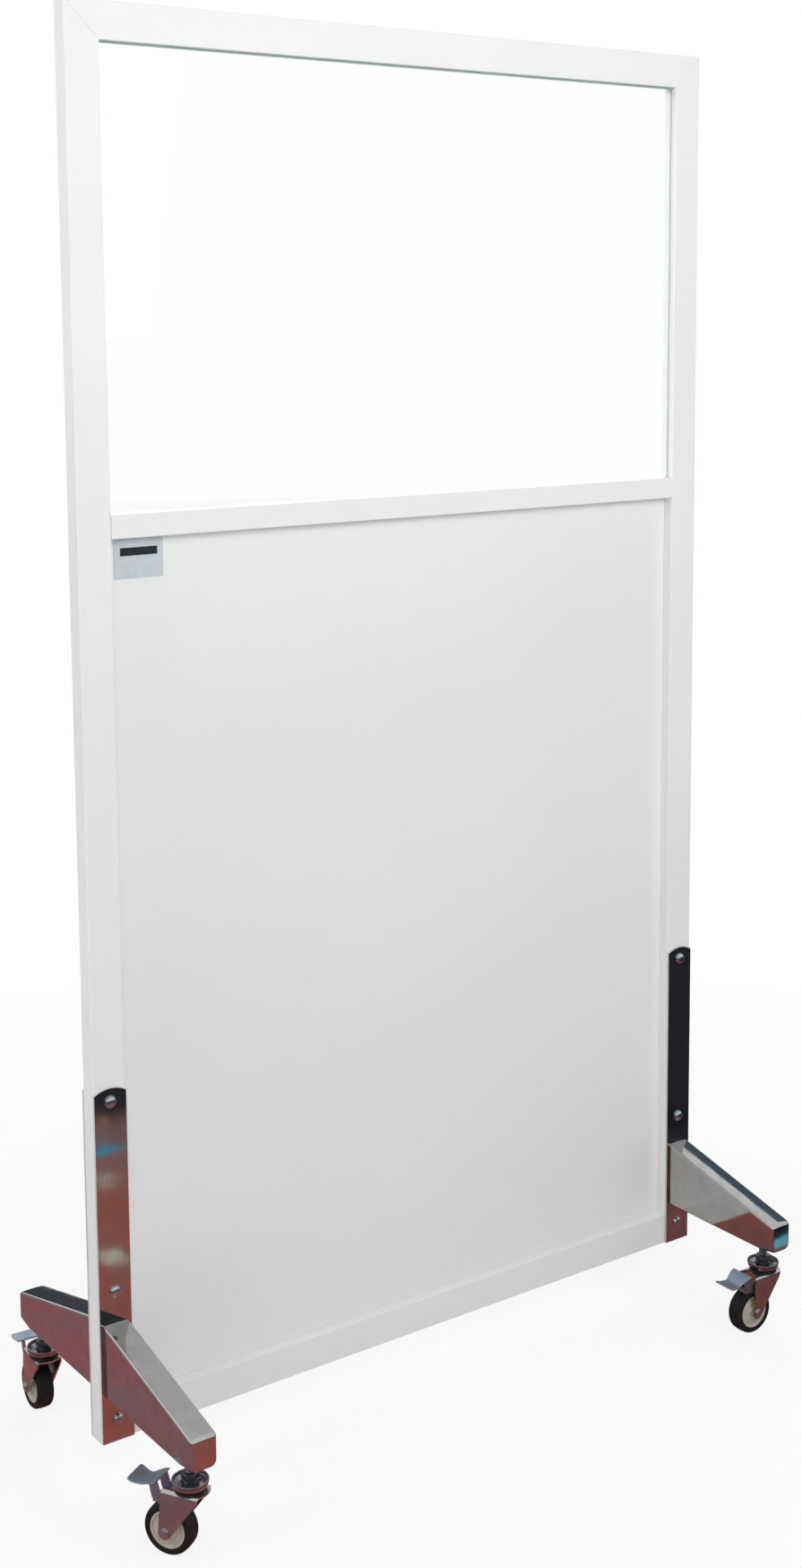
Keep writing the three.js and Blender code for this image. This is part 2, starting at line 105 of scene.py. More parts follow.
def fillet(corners: Profile, steps: int = 5) -> Array:
    """Closed outline whose corners are rounded by arcs tangent to both sides.

    At a corner the arc's centre lies on the bisector of the two sides, radius / sin(half angle) from the corner,
    and its points run from one tangent point to the other at equal turns.

    Args:
        corners: (x, y, radius) of each corner, in order.
        steps: Pieces that each arc is cut into.

    Returns:
        Points of the outline, shape (corners * (steps + 1), 2).
    """
    data = np.array(corners, float)
    corner, radius = data[:, :2], data[:, 2:3]
    back = np.roll(corner, 1, 0) - corner
    ahead = np.roll(corner, -1, 0) - corner
    back /= np.linalg.norm(back, axis=1, keepdims=True)
    ahead /= np.linalg.norm(ahead, axis=1, keepdims=True)
    half = np.arccos(np.clip((back * ahead).sum(1, keepdims=True), -1, 1)) / 2
    bisector = (back + ahead) / np.maximum(np.linalg.norm(back + ahead, axis=1, keepdims=True), 1e-9)
    centre = corner + bisector * radius / np.sin(half)
    start = corner + back * radius / np.tan(half) - centre
    end = corner + ahead * radius / np.tan(half) - centre
    first = np.arctan2(start[:, 1], start[:, 0])[:, None]
    turn = np.arctan2(end[:, 1], end[:, 0])[:, None] - first
    turn = (turn + np.pi) % (2 * np.pi) - np.pi
    angle = first + turn * np.linspace(0, 1, steps + 1)
    ring = np.stack([np.cos(angle), np.sin(angle)], -1) * radius[:, :, None] + centre[:, None, :]
    return ring.reshape(-1, 2)


def rounded_ring(half_x: Array, low: Array, high: Array, r_low: Array, r_high: Array, steps: int = 6) -> Array:
    """Rings of a rounded rectangle in (x, z), one for each entry of the inputs.

    Each quarter turn is an arc about a centre one radius inside its corner.

    Args:
        half_x: Half width.
        low: Height of the lower side.
        high: Height of the upper side.
        r_low: Radius of the two lower corners.
        r_high: Radius of the two upper corners.
        steps: Pieces in each corner's arc.

    Returns:
        Rings, shape (entries, 4 * (steps + 1), 2).
    """
    sign_x = np.array([1, -1, -1, 1])
    is_high = np.array([True, True, False, False])
    radius = np.where(is_high, r_high[:, None], r_low[:, None])
    centre_x = sign_x * (half_x[:, None] - radius)
    centre_z = np.where(is_high, high[:, None] - radius, low[:, None] + radius)
    angle = (np.arange(4)[:, None] + np.linspace(0, 1, steps + 1)) * np.pi / 2
    x = centre_x[..., None] + radius[..., None] * np.cos(angle)
    z = centre_z[..., None] + radius[..., None] * np.sin(angle)
    return np.stack([x, z], -1).reshape(len(half_x), -1, 2)


def circles(radius: Array, height: Array, facets: int) -> Array:
    """Rows of points about Z at equal turns: (radius cos angle, radius sin angle, height).

    Args:
        radius: Radius of each row, shape (n, 1), or of each point, shape (n, facets).
        height: Height of each row, shape (n, 1).
        facets: Points in each row.

    Returns:
        Rings, shape (n, facets, 3).
    """
    angle = np.arange(facets) * 2 * np.pi / facets
    return np.stack([radius * np.cos(angle), radius * np.sin(angle), height + 0 * angle], -1)


def turned(profile: Array, facets: int = 64) -> Array:
    """Surface of revolution about Z: each (radius, height) of the profile becomes a circle.

    Args:
        profile: Closed or axis-to-axis profile, shape (n, 2).
        facets: Points round each circle.

    Returns:
        Rings, shape (n, facets, 3).
    """
    return circles(profile[:, 0:1], profile[:, 1:2], facets)


def slab(outline: Array, low: float, high: float, edge: float = 0.4, steps: int = 3) -> Array:
    """Flat sheet with rounded edges: its edge profile is carried round the outline, drawn in (x, y).

    The profile is a quarter arc up from the lower face, a straight wall and a quarter arc to the upper face, laid
    out along the outline's outward normals.

    Args:
        outline: Counter-clockwise outline, shape (n, 2).
        low: Height of the lower face.
        high: Height of the upper face.
        edge: Radius of the edges.
        steps: Pieces in each quarter arc.

    Returns:
        Rings, shape (2 * (steps + 1), n, 3).
    """
    tangent = np.roll(outline, -1, 0) - np.roll(outline, 1, 0)
    tangent /= np.linalg.norm(tangent, axis=1, keepdims=True)
    normal = np.stack([tangent[:, 1], -tangent[:, 0]], -1)
    quarter = np.linspace(0, np.pi / 2, steps + 1)
    inset = np.concatenate([np.sin(quarter) - 1, np.cos(quarter) - 1]) * edge
    height = np.concatenate([low + edge * (1 - np.cos(quarter)), high - edge * (1 - np.sin(quarter))])
    flat = outline[None] + normal[None] * inset[:, None, None]
    return np.concatenate([flat, np.broadcast_to(height[:, None, None], flat.shape[:2] + (1,))], -1)


def upright(points: Array) -> Array:
    """Stands up a shape drawn lying: (x, y, z) goes to (x, -z, y), so that its top faces the viewer's side."""
    return np.stack([points[..., 0], -points[..., 2], points[..., 1]], -1)


def mirrored(side: Profile) -> Profile:
    """Closed (radius, station, corner radius) profile from the points of one side, outwards from the axis."""
    return side + [(r, -w, c) for r, w, c in side[::-1]]


def rectangle(x0: float, z0: float, x1: float, z1: float, radius: float) -> Profile:
    """Counter-clockwise corners of a rectangle, all with one radius."""
    return [(x0, z0, radius), (x1, z0, radius), (x1, z1, radius), (x0, z1, radius)]


def hex_ring(across: float, low: float, high: float, chamfer: float = 1.0, facets: int = 72) -> Array:
    """Hexagon nut body: the radius is the smaller of the hexagon's and of a cone's at each end.

    Args:
        across: Size across the flats.
        low: Height of the lower face.
        high: Height of the upper face.
        chamfer: Height over which the corners are turned off.
        facets: Points round the nut.

    Returns:
        Rings, shape (rows, facets, 3).
    """
    angle = np.arange(facets) * 2 * np.pi / facets
    flat = across / 2 / np.cos((angle + np.pi / 6) % (np.pi / 3) - np.pi / 6)
    share = np.array([0.0, 0.0, 0.35, 0.7, 1.0])
    height = np.concatenate([low + share * chamfer, high - share[::-1] * chamfer])
    cone = np.concatenate([[0.0], across / 2 * (0.96 + 0.22 * share[1:])])
    limit = np.concatenate([cone, cone[::-1]])
    return circles(np.minimum(flat[None], limit[:, None]), height[:, None], facets)


def linked(name: str, data: bpy.types.ID) -> bpy.types.Object:
    """Makes an object from its data and puts it into the scene.

    Args:
        name: Name of the object.
        data: Its mesh, lamp or camera.

    Returns:
        The object.
    """
    made = bpy.data.objects.new(name, data)
    bpy.context.scene.collection.objects.link(made)
    return made


def stance(right: Array, up: Array, back: Array, place: Triple) -> Matrix:
    """Matrix of a camera or lamp, which faces away from its back.

    Args:
        right: Direction of its right side.
        up: Direction of its top.
        back: Direction of its back.
        place: Its place in metres.

    Returns:
        The matrix.
    """
    matrix = np.eye(4)
    matrix[:3] = np.stack([right, up, back, place], -1)
    return Matrix(matrix.tolist())


class Skin:
    """Closed surfaces gathered for one piece, in millimetres."""

    def __init__(self) -> None:
        """Starts with no surface."""
        self.blocks: list[Array] = []
        self.faces: list[list[int]] = []
        self.count = 0

    def add(self, rings: Array, looped: bool = False, capped: bool = True) -> "Skin":
        """Adds a grid of points whose rows are closed rings, joined by quads.

        Args:
            rings: Points, shape (rows, ring points, 3).
            looped: Whether the last row joins the first, as in a hollow ring.
            capped: Whether the first and the last row are closed by a polygon.

        Returns:
            This skin.
        """
        rows, ring = rings.shape[:2]
        index = np.arange(rows * ring).reshape(rows, ring) + self.count
        below = index if looped else index[:-1]
        above = np.roll(index, -1, 0) if looped else index[1:]
        quads = np.stack([below, np.roll(below, -1, 1), np.roll(above, -1, 1), above], -1).reshape(-1, 4)
        self.faces += quads.tolist()
        if capped and not looped:
            self.faces += [index[0, ::-1].tolist(), index[-1].tolist()]
        self.blocks.append(rings.reshape(-1, 3))
        self.count += rows * ring
        return self

    def sheet(self, grid: Array) -> "Skin":
        """Adds an open sheet from a grid of points, for a wall that a modifier makes.

        Args:
            grid: Points, shape (rows, columns, 3).

        Returns:
            This skin.
        """
        rows, columns = grid.shape[:2]
        index = np.arange(rows * columns).reshape(rows, columns) + self.count
        quads = np.stack([index[:-1, :-1], index[:-1, 1:], index[1:, 1:], index[1:, :-1]], -1).reshape(-1, 4)
        self.faces += quads.tolist()
        self.blocks.append(grid.reshape(-1, 3))
        self.count += rows * columns
        return self

    def piece(self, name: str, material: bpy.types.Material, crease: float = CREASE,
              closed: bool = True) -> bpy.types.Object:
        """Makes the Blender object.

        Args:
            name: Name of the piece.
            material: Its material.
            crease: Angle in degrees above which an edge stays sharp.
            closed: Whether the faces are turned outwards here; an open sheet keeps its own side.

        Returns:
            The object, at the origin.
        """
        mesh = bpy.data.meshes.new(name)
        mesh.from_pydata((np.concatenate(self.blocks) * MM).tolist(), [], self.faces)
        work = bmesh.new()
        work.from_mesh(mesh)
        bmesh.ops.remove_doubles(work, verts=work.verts, dist=2e-7)
        if closed:
            bmesh.ops.recalc_face_normals(work, faces=work.faces)
        work.to_mesh(mesh)
        work.free()
        mesh.shade_smooth()
        mesh.set_sharp_from_angle(angle=math.radians(crease))
        mesh.materials.append(material)
        return linked(name, mesh)


def settle(piece: bpy.types.Object) -> None:
    """Weights a piece's normals by face area, so that flat faces stay flat between their rounded edges.

    Args:
        piece: The object.
    """
    normals = piece.modifiers.new("flat_faces", "WEIGHTED_NORMAL")
    normals.keep_sharp = True
    normals.weight = 100


def publish(piece: bpy.types.Object, body: str, slot: Slot, *replaced: str) -> bpy.types.Object:
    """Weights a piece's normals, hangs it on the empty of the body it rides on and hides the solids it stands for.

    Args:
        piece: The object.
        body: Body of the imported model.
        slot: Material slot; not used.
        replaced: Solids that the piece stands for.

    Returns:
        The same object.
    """
    settle(piece)
    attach(piece, body)
    if replaced:
        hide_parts(*replaced)
    return piece


# ---------- finishes ----------


def combine(tree: bpy.types.NodeTree, operation: str, *inputs: Socket | float) -> Socket:
    """Math node over its inputs.

    Args:
        tree: Node tree in which it is made.
        operation: Blender's name of the operation.
        inputs: Sockets or constants.

    Returns:
        The result.
    """
    node = tree.nodes.new("ShaderNodeMath")
    node.operation = operation
    for socket, value in zip(node.inputs, inputs):
        if isinstance(value, float):
            socket.default_value = value
        else:
            tree.links.new(value, socket)
    return node.outputs[0]


def mix_shaders(tree: bpy.types.NodeTree, factor: Socket, first: Socket, second: Socket) -> Socket:
    """Mixes two shaders.

    Args:
        tree: Node tree in which the node is made.
        factor: Share of the second.
        first: First shader.
        second: Second shader.

    Returns:
        The mixed shader.
    """
    node = tree.nodes.new("ShaderNodeMixShader")
    for socket, source in zip(node.inputs, (factor, first, second)):
        tree.links.new(source, socket)
    return node.outputs["Shader"]


class NodeSheet:
    """Node tree of one material, with short calls for the nodes that the finishes share."""

    def __init__(self, name: str) -> None:
        """Starts a material with a Principled shader.

        Args:
            name: Name of the material.
        """
        self.material = bpy.data.materials.new(name)
        self.material.use_nodes = True
        self.tree = self.material.node_tree
        self.nodes, self.links = self.tree.nodes, self.tree.links
        self.shader = self.nodes["Principled BSDF"]
        self.output = self.nodes["Material Output"]
        self.place = self.nodes.new("ShaderNodeTexCoord").outputs["Object"]

    def set(self, **values: float | tuple[float, ...]) -> None:
        """Sets constant values on the shader's own sockets.

        Args:
            values: Socket names, with _ for a space, and their values.
        """
        for name, value in values.items():
            self.shader.inputs[name.replace("_", " ")].default_value = value

    def noise(self, size: float, detail: float = 3.0, stretch: Triple = (1, 1, 1)) -> Socket:
        """Noise over Object coordinates.

        Args:
            size: Size of a patch in millimetres.
            detail: Octaves.
            stretch: Scale along each axis; a small number draws the pattern out along it.

        Returns:
            The noise value.
        """
        mapping = self.nodes.new("ShaderNodeMapping")
        mapping.inputs["Scale"].default_value = stretch
        self.links.new(self.place, mapping.inputs["Vector"])
        node = self.nodes.new("ShaderNodeTexNoise")
        node.inputs["Scale"].default_value = 1 / (size * MM)
        node.inputs["Detail"].default_value = detail
        self.links.new(mapping.outputs["Vector"], node.inputs["Vector"])
        return node.outputs["Fac"]

    def span(self, source: Socket, low: float, high: float, start: float = 0.3,
             end: float = 0.7) -> Socket:
        """Stretches a value from start..end to low..high.

        Args:
            source: The value.
            low: Result at start.
            high: Result at end.
            start: Lower input.
            end: Upper input.

        Returns:
            The new value.
        """
        node = self.nodes.new("ShaderNodeMapRange")
        for name, value in (("From Min", start), ("From Max", end), ("To Min", low), ("To Max", high)):
            node.inputs[name].default_value = value
        self.links.new(source, node.inputs["Value"])
        return node.outputs["Result"]

    def blend(self, factor: Socket, first: Colour | Socket, second: Colour | Socket) -> Socket:
        """Mixes two colours, each given as a colour or as a socket.

        Args:
            factor: Share of the second.
            first: First colour.
            second: Second colour.

        Returns:
            The mixed colour.
        """
        node = self.nodes.new("ShaderNodeMix")
        node.data_type = "RGBA"
        self.links.new(factor, node.inputs["Factor"])
        for socket, colour in ((node.inputs[6], first), (node.inputs[7], second)):
            if isinstance(colour, tuple):
                socket.default_value = (*colour, 1.0)
            else:
                self.links.new(colour, socket)
        return node.outputs[2]

    def bump(self, layers: list[tuple[Socket, float]]) -> None:
        """Chains bumps into the shader's normal.

        Args:
            layers: Height sockets, each with the depth of its relief in millimetres.
        """
        last = None
        for height, depth in layers:
            node = self.nodes.new("ShaderNodeBump")
            node.inputs["Distance"].default_value = depth * MM
            self.links.new(height, node.inputs["Height"])
            if last is not None:
                self.links.new(last, node.inputs["Normal"])
            last = node.outputs["Normal"]
        self.links.new(last, self.shader.inputs["Normal"])

    def to(self, socket: str, source: Socket) -> None:
        """Links a value into one of the shader's sockets."""
        self.links.new(source, self.shader.inputs[socket])


MADE: dict[str, bpy.types.Material] = {}


@dataclass(frozen=True)
class Finish(ABC):
    """A finish of the partition; its material is made once."""

    name: str

    @property
    def material(self) -> bpy.types.Material:
        """The Blender material of this finish."""
        if self.name not in MADE:
            MADE[self.name] = self.build()
        return MADE[self.name]

    @abstractmethod
    def build(self) -> bpy.types.Material:
        """Makes the material's nodes."""


@dataclass(frozen=True)
class CoatFinish(Finish):
    """Sprayed coat or moulded plastic: a faint cloud of two tints, a fine orange peel and an uneven gloss."""

    tint: Colour
    shade: Colour
    gloss: tuple[float, float] = (0.32, 0.42)
    cloud: float = 260.0
    peel: float = 1.6
    peel_depth: float = 0.03
    speck: float = 0.0

    def build(self) -> bpy.types.Material:
        """Makes the material's nodes.

        Returns:
            The material.
        """
        sheet = NodeSheet(self.name)
        colour = sheet.blend(sheet.span(sheet.noise(self.cloud, 3), 0, 1), self.tint, self.shade)
        if self.speck:
            speck = sheet.span(sheet.noise(2.2, 2), 0, self.speck, 0.62, 0.74)
            colour = sheet.blend(speck, colour, tuple(0.8 * c for c in self.shade))
        sheet.to("Base Color", colour)
        sheet.to("Roughness", sheet.span(sheet.noise(35, 4), *self.gloss))
        sheet.bump([(sheet.noise(self.peel, 2), self.peel_depth), (sheet.noise(60, 1), 0.15)])
        return sheet.material


@dataclass(frozen=True)
class SteelFinish(Finish):
    """Polished or plated sheet steel: fine rubbing lines along the piece, soft waves and a few dull smears."""

    tint: Colour
    shade: Colour
    gloss: tuple[float, float] = (0.06, 0.16)
    grain: Triple = (1.0, 0.06, 0.06)
    grain_size: float = 0.9
    grain_depth: float = 0.004
    wave: float = 55.0
    wave_depth: float = 0.35
    grain_gloss: float = 0.06

    def build(self) -> bpy.types.Material:
        """Makes the material's nodes.

        Returns:
            The material.
        """
        sheet = NodeSheet(self.name)
        sheet.set(Metallic=1.0)
        lines = sheet.noise(self.grain_size, 2, self.grain)
        smear = sheet.noise(24, 4)
        sheet.to("Base Color", sheet.blend(sheet.span(smear, 0, 1), self.tint, self.shade))
        rough = sheet.span(smear, *self.gloss)
        sheet.to("Roughness", combine(sheet.tree, "MULTIPLY_ADD", lines, self.grain_gloss, rough))
        sheet.bump([(sheet.noise(self.wave, 1), self.wave_depth), (lines, self.grain_depth)])
        return sheet.material


@dataclass(frozen=True)
class RubberFinish(Finish):
    """Rubber: dark with a dusty bloom and a fine moulded grain."""

    tint: Colour
    dust: Colour
    gloss: tuple[float, float] = (0.5, 0.72)
    bloom: float = 0.5
    shine: float = 0.4

    def build(self) -> bpy.types.Material:
        """Makes the material's nodes.

        Returns:
            The material.
        """
        sheet = NodeSheet(self.name)
        sheet.set(Specular_IOR_Level=self.shine)
        bloom = sheet.span(sheet.noise(9, 5), 0, self.bloom, 0.42, 0.72)
        sheet.to("Base Color", sheet.blend(bloom, self.tint, self.dust))
        sheet.to("Roughness", sheet.span(sheet.noise(5, 4), *self.gloss))
        sheet.bump([(sheet.noise(0.5, 2), 0.03)])
        return sheet.material


@dataclass(frozen=True)
class PaneFinish(Finish):
    """Clear pane with a faint green body, a hair of surface wave, and a plain shadow."""

    tint: Colour
    index: float = 1.5
    shadow: Colour = (0.93, 0.95, 0.94)

    def build(self) -> bpy.types.Material:
        """Makes the material's nodes.

        Returns:
            The material.
        """
        sheet = NodeSheet(self.name)
        sheet.set(Transmission_Weight=1.0, IOR=self.index)
        haze = tuple(0.995 * c for c in self.tint)
        sheet.to("Base Color", sheet.blend(sheet.span(sheet.noise(400, 1), 0, 1), self.tint, haze))
        sheet.to("Roughness", sheet.span(sheet.noise(60, 3), 0.0, 0.02))
        sheet.bump([(sheet.noise(180, 1), 0.02)])
        clear = sheet.nodes.new("ShaderNodeBsdfTransparent")
        clear.inputs["Color"].default_value = (*self.shadow, 1)
        path = sheet.nodes.new("ShaderNodeLightPath")
        mixed = mix_shaders(sheet.tree, path.outputs["Is Shadow Ray"], sheet.shader.outputs["BSDF"],
                            clear.outputs["BSDF"])
        sheet.links.new(mixed, sheet.output.inputs["Surface"])
        return sheet.material


WHITE = CoatFinish("white_powder_coat", (0.885, 0.895, 0.885), (0.86, 0.872, 0.865))
SKIN_WHITE = CoatFinish("white_panel_skin", (0.87, 0.88, 0.88), (0.845, 0.856, 0.856), (0.28, 0.36), 420.0, 2.6, 0.012)
PANE = PaneFinish("clear_sheet", (0.985, 0.995, 0.99))
# The pane's seal strip is dark green grey: a painted shadow line where the top rail shades the pane.
SEAL = RubberFinish("pane_seal_painted_shade", (0.33, 0.42, 0.37), (0.44, 0.52, 0.47))
LEAD = SteelFinish("lead_sheet_dull", (0.16, 0.165, 0.18), (0.11, 0.115, 0.125), (0.5, 0.7), wave_depth=0.1)
FOIL = CoatFinish("blank_foil", (0.60, 0.655, 0.69), (0.56, 0.61, 0.65), (0.25, 0.35), 18.0, 0.6, 0.008)
BAND = CoatFinish("dark_band_ink", (0.007, 0.011, 0.014), (0.014, 0.018, 0.022), (0.5, 0.6), 20.0, 0.8, 0.01)
POLISHED = SteelFinish("polished_steel_sheet", (0.47, 0.47, 0.465), (0.39, 0.39, 0.39), (0.01, 0.06), wave_depth=0.25)
CUT_EDGE = CoatFinish("cut_steel_edge", (0.66, 0.64, 0.61), (0.54, 0.53, 0.50), (0.4, 0.55), 30.0, 0.7, 0.01)
# Pressed and plated steel has an even grain: no stretch along an axis.
EVEN = (1, 1, 1)
PRESSED = SteelFinish("pressed_bright_steel", (0.47, 0.47, 0.475), (0.36, 0.36, 0.37), (0.12, 0.24),
                      EVEN, 1.4, 0.003, 14.0, 0.1)
# The cup's steel is darker and bluer than the other steel: painted shade inside the bowl.
CUP_STEEL = SteelFinish("cup_steel_painted_shade", (0.33, 0.33, 0.365), (0.21, 0.21, 0.24), (0.14, 0.26),
                        EVEN, 1.4, 0.003, 14.0, 0.1)
ZINC = SteelFinish("zinc_plated_steel", (0.50, 0.53, 0.56), (0.38, 0.41, 0.45), (0.16, 0.28),
                   EVEN, 1.0, 0.004, 8.0, 0.06)
# The stem and its nuts are rougher than the other zinc, and their darker tint is painted shade down in the cup and
# under the leg.
SHADED_DULL_ZINC = SteelFinish("dull_zinc_stem_painted_shade", (0.24, 0.27, 0.30), (0.15, 0.17, 0.195), (0.32, 0.46),
                        EVEN, 1.0, 0.004, 8.0, 0.03)
SATIN_ZINC = SteelFinish("satin_zinc_pedal", (0.37, 0.45, 0.54), (0.29, 0.36, 0.45), (0.36, 0.48),
                         EVEN, 1.0, 0.004, 9.0, 0.05)
DARK_SEAL = RubberFinish("dark_bearing_seal", (0.010, 0.012, 0.013), (0.03, 0.032, 0.034), (0.35, 0.5), 0.3)
TYRE = RubberFinish("black_tyre_rubber", (0.008, 0.008, 0.009), (0.028, 0.028, 0.028), (0.55, 0.75), 0.35, 0.25)
HUB = CoatFinish("cream_hub_plastic", (0.53, 0.50, 0.41), (0.43, 0.405, 0.33), (0.35, 0.5), 12.0, 0.9, 0.02, 0.35)


# ---------- studio ----------


@dataclass(frozen=True)
class FloorMark:
    """Painted reflection patch on the floor card, in metres, whose edges fade over `soft`: a glint or dark spot that
    the steel mirrors.
    """

    left: float
    right: float
    front: float
    back: float
    colour: Colour
    soft: float = 0.01

    def mask(self, sheet: NodeSheet, x: Socket, y: Socket) -> Socket:
        """Share of the rectangle at a place: the product of four ramps, one for each side.

        Args:
            sheet: Material in which the nodes are made.
            x: Place along X.
            y: Place along Y.

        Returns:
            1 inside and 0 outside.
        """
        total = sheet.span(x, 0, 1, self.left - self.soft, self.left)
        for ramp in (sheet.span(x, 1, 0, self.right, self.right + self.soft),
                     sheet.span(y, 0, 1, self.front - self.soft, self.front),
                     sheet.span(y, 1, 0, self.back, self.back + self.soft)):
            total = combine(sheet.tree, "MULTIPLY", total, ramp)
        return total


# Colours of the glowing cards that paint reflections into the steel; no ray but a reflection sees them.
REFLECTED_RED_GROUND = ((0.50, 0.135, 0.11), (0.36, 0.18, 0.155))
REFLECTED_PURPLE_GROUND = ((0.42, 0.155, 0.17), (0.30, 0.19, 0.21))
REFLECTED_DIM_GROUND = (0.27, 0.10, 0.09)
REFLECTED_NEAR_GROUND = (0.34, 0.185, 0.165)
REFLECTED_FAR_GROUND = ((0.03, 0.034, 0.042), (0.62, 0.60, 0.57))
REFLECTED_WALL_HAZE = ((0.05, 0.062, 0.075), (0.085, 0.10, 0.115))
REFLECTED_SHADE_HAZE = ((0.10, 0.145, 0.19), (0.15, 0.20, 0.25))
# Painted reflection patches: a blue bar, three pale marks, a dark spot and a blue glint.
PAINTED_REFLECTION_MARKS = (
    FloorMark(-0.12, 0.03, -1.014, -0.990, (0.05, 0.40, 0.62)),
    FloorMark(-0.080, -0.046, -0.902, -0.858, (0.66, 0.62, 0.50)),
    FloorMark(-0.203, -0.176, -0.640, -0.590, (0.66, 0.62, 0.50)),
    FloorMark(0.55, 0.95, -0.75, -0.474, (0.02, 0.022, 0.028)),
    FloorMark(0.60, 0.77, -0.470, -0.452, (0.22, 0.66, 0.86), 0.006),
)


@dataclass(frozen=True)
class Lamp:
    """Square soft lamp that neither the camera nor reflections see, its side in metres and its power in watts."""

    name: str
    place: Triple
    aim: Triple
    size: float
    power: float

    def build(self) -> None:
        """Makes the lamp, facing its aim."""
        data = bpy.data.lights.new(self.name, "AREA")
        data.shape, data.size, data.energy = "SQUARE", self.size, self.power
        lamp = linked(self.name, data)
        lamp.visible_camera = lamp.visible_glossy = False
        back = np.array(self.place, float) - np.array(self.aim, float)
        back /= np.linalg.norm(back)
        side = np.cross([0.0, 0.0, 1.0], back)
        side /= np.linalg.norm(side)
        lamp.matrix_world = stance(side, np.cross(back, side), back, self.place)


LAMPS = (
    Lamp("lamp_front", (-1.5, -2.3, 2.6), (-0.3, 0.0, 1.4), 1.5, 21.0),
    Lamp("lamp_high", (0.2, -1.9, 1.9), (0.1, 0.0, 1.3), 1.0, 17.0),
    Lamp("lamp_left", (-3.4, 0.2, 2.2), (0.0, 0.0, 1.1), 1.8, 38.0),
    Lamp("lamp_back", (1.5, 2.3, 2.9), (0.3, 0.0, 1.5), 1.5, 42.0),
)


@dataclass
class Studio:
    """Camera, floor, background, lamps and glowing cards that paint reflections into the steel. Nothing here belongs
    to the partition.

    The eye is in millimetres, its focal length and centre are in pixels of the picture, angles are in degrees, and
    the places on the cards are in metres.
    """

    middle_y: float
    eye: Triple = (-1582.1, -2185.3, 1453.8)
    turn: float = 35.54
    dip: float = -7.31
    roll: float = -0.39
    focal: float = 2272.8
    centre: tuple[float, float] = (447.5, 652.6)
    sensor: float = 36.0
    ambient: float = 0.35
    floor_radius: float = 25.0
    floor_fade: tuple[float, float] = (0.8, 1.9)
    card_radius: float = 4.5
    card_height: float = 0.0012
    red_middle: tuple[float, float] = (-0.35, 0.0)
    red_reach: float = 1.21
    purple_edge: tuple[float, float] = (-0.58, -0.50)
    dim_edge: tuple[float, float] = (-0.05, 0.35)
    near_edge: tuple[float, float] = (-0.93, -0.89)
    far_edge: tuple[float, float] = (-0.3, 0.5)
    wall_rise: tuple[float, float] = (0.015, 10.7)
    shade_turn: tuple[float, float] = (56.0, 92.0)
    shade_rise: tuple[float, float] = (12, 40.5)
    shade_radius: float = 4.4

    def camera(self) -> bpy.types.Object:
        """Sets up the camera from its place, its turn from +Y towards +X, its dip and its roll.

        Returns:
            The camera.
        """
        a, b, c = (math.radians(v) for v in (self.turn, self.dip, self.roll))
        ahead = np.array([math.sin(a) * math.cos(b), math.cos(a) * math.cos(b), math.sin(b)])
        flat_right = np.array([math.cos(a), -math.sin(a), 0.0])
        flat_up = np.cross(flat_right, ahead)
        right = flat_right * math.cos(c) + flat_up * math.sin(c)
        up = -flat_right * math.sin(c) + flat_up * math.cos(c)
        data = bpy.data.cameras.new("camera")
        data.sensor_fit = "VERTICAL"
        data.sensor_height = self.sensor
        data.lens = self.focal * self.sensor / PHOTO_SIZE[1]
        data.shift_x = -(self.centre[0] - PHOTO_SIZE[0] / 2) / PHOTO_SIZE[1]
        data.shift_y = (self.centre[1] - PHOTO_SIZE[1] / 2) / PHOTO_SIZE[1]
        data.clip_start, data.clip_end = 0.05, 100.0
        camera = linked("camera", data)
        eye = (self.eye[0] * MM, self.eye[1] * MM + self.middle_y, self.eye[2] * MM)
        camera.matrix_world = stance(right, up, -ahead, eye)
        bpy.context.scene.camera = camera
        return camera

    @staticmethod
    def _seen(tree: bpy.types.NodeTree) -> Socket:
        """Tells the rays that see a surface from those that light the object.

        Args:
            tree: Node tree in which the nodes are made.

        Returns:
            1 for camera, glossy and transmission rays, or else 0.
        """
        path = tree.nodes.new("ShaderNodeLightPath")
        total = path.outputs["Is Camera Ray"]
        for name in ("Is Glossy Ray", "Is Transmission Ray"):
            total = combine(tree, "MAXIMUM", total, path.outputs[name])
        return total

    def world(self) -> None:
        """White background, with a weaker even light on the object."""
        world = bpy.data.worlds.new("white_surround")
        bpy.context.scene.world = world
        world.use_nodes = True
        tree = world.node_tree
        light = tree.nodes["Background"]
        light.inputs["Color"].default_value = (0.985, 0.995, 1.0, 1)
        light.inputs["Strength"].default_value = self.ambient
        white = tree.nodes.new("ShaderNodeBackground")
        white.inputs["Color"].default_value = (1, 1, 1, 1)
        mixed = mix_shaders(tree, self._seen(tree), light.outputs["Background"], white.outputs["Background"])
        tree.links.new(mixed, tree.nodes["World Output"].inputs["Surface"])

    def _disc(self, name: str, radius: float, height: float, material: bpy.types.Material) -> bpy.types.Object:
        """Flat disc on the floor.

        Args:
            name: Name of the disc.
            radius: Radius in metres.
            height: Height over the floor in metres.
            material: Its material.

        Returns:
            The disc.
        """
        ring = circles(np.array([[radius]]), np.array([[height]]), 96)[0]
        mesh = bpy.data.meshes.new(name)
        mesh.from_pydata(ring.tolist(), [], [list(range(len(ring)))])
        mesh.materials.append(material)
        disc = linked(name, mesh)
        return disc

    @staticmethod
    def _distance(sheet: NodeSheet, place: Socket | None = None) -> Socket:
        """Length of a place vector.

        Args:
            sheet: Material in which the node is made.
            place: The vector, by default the place itself.

        Returns:
            Its length, by default the distance from the partition's middle in metres.
        """
        length = sheet.nodes.new("ShaderNodeVectorMath")
        length.operation = "LENGTH"
        sheet.links.new(place or sheet.place, length.inputs[0])
        return length.outputs["Value"]

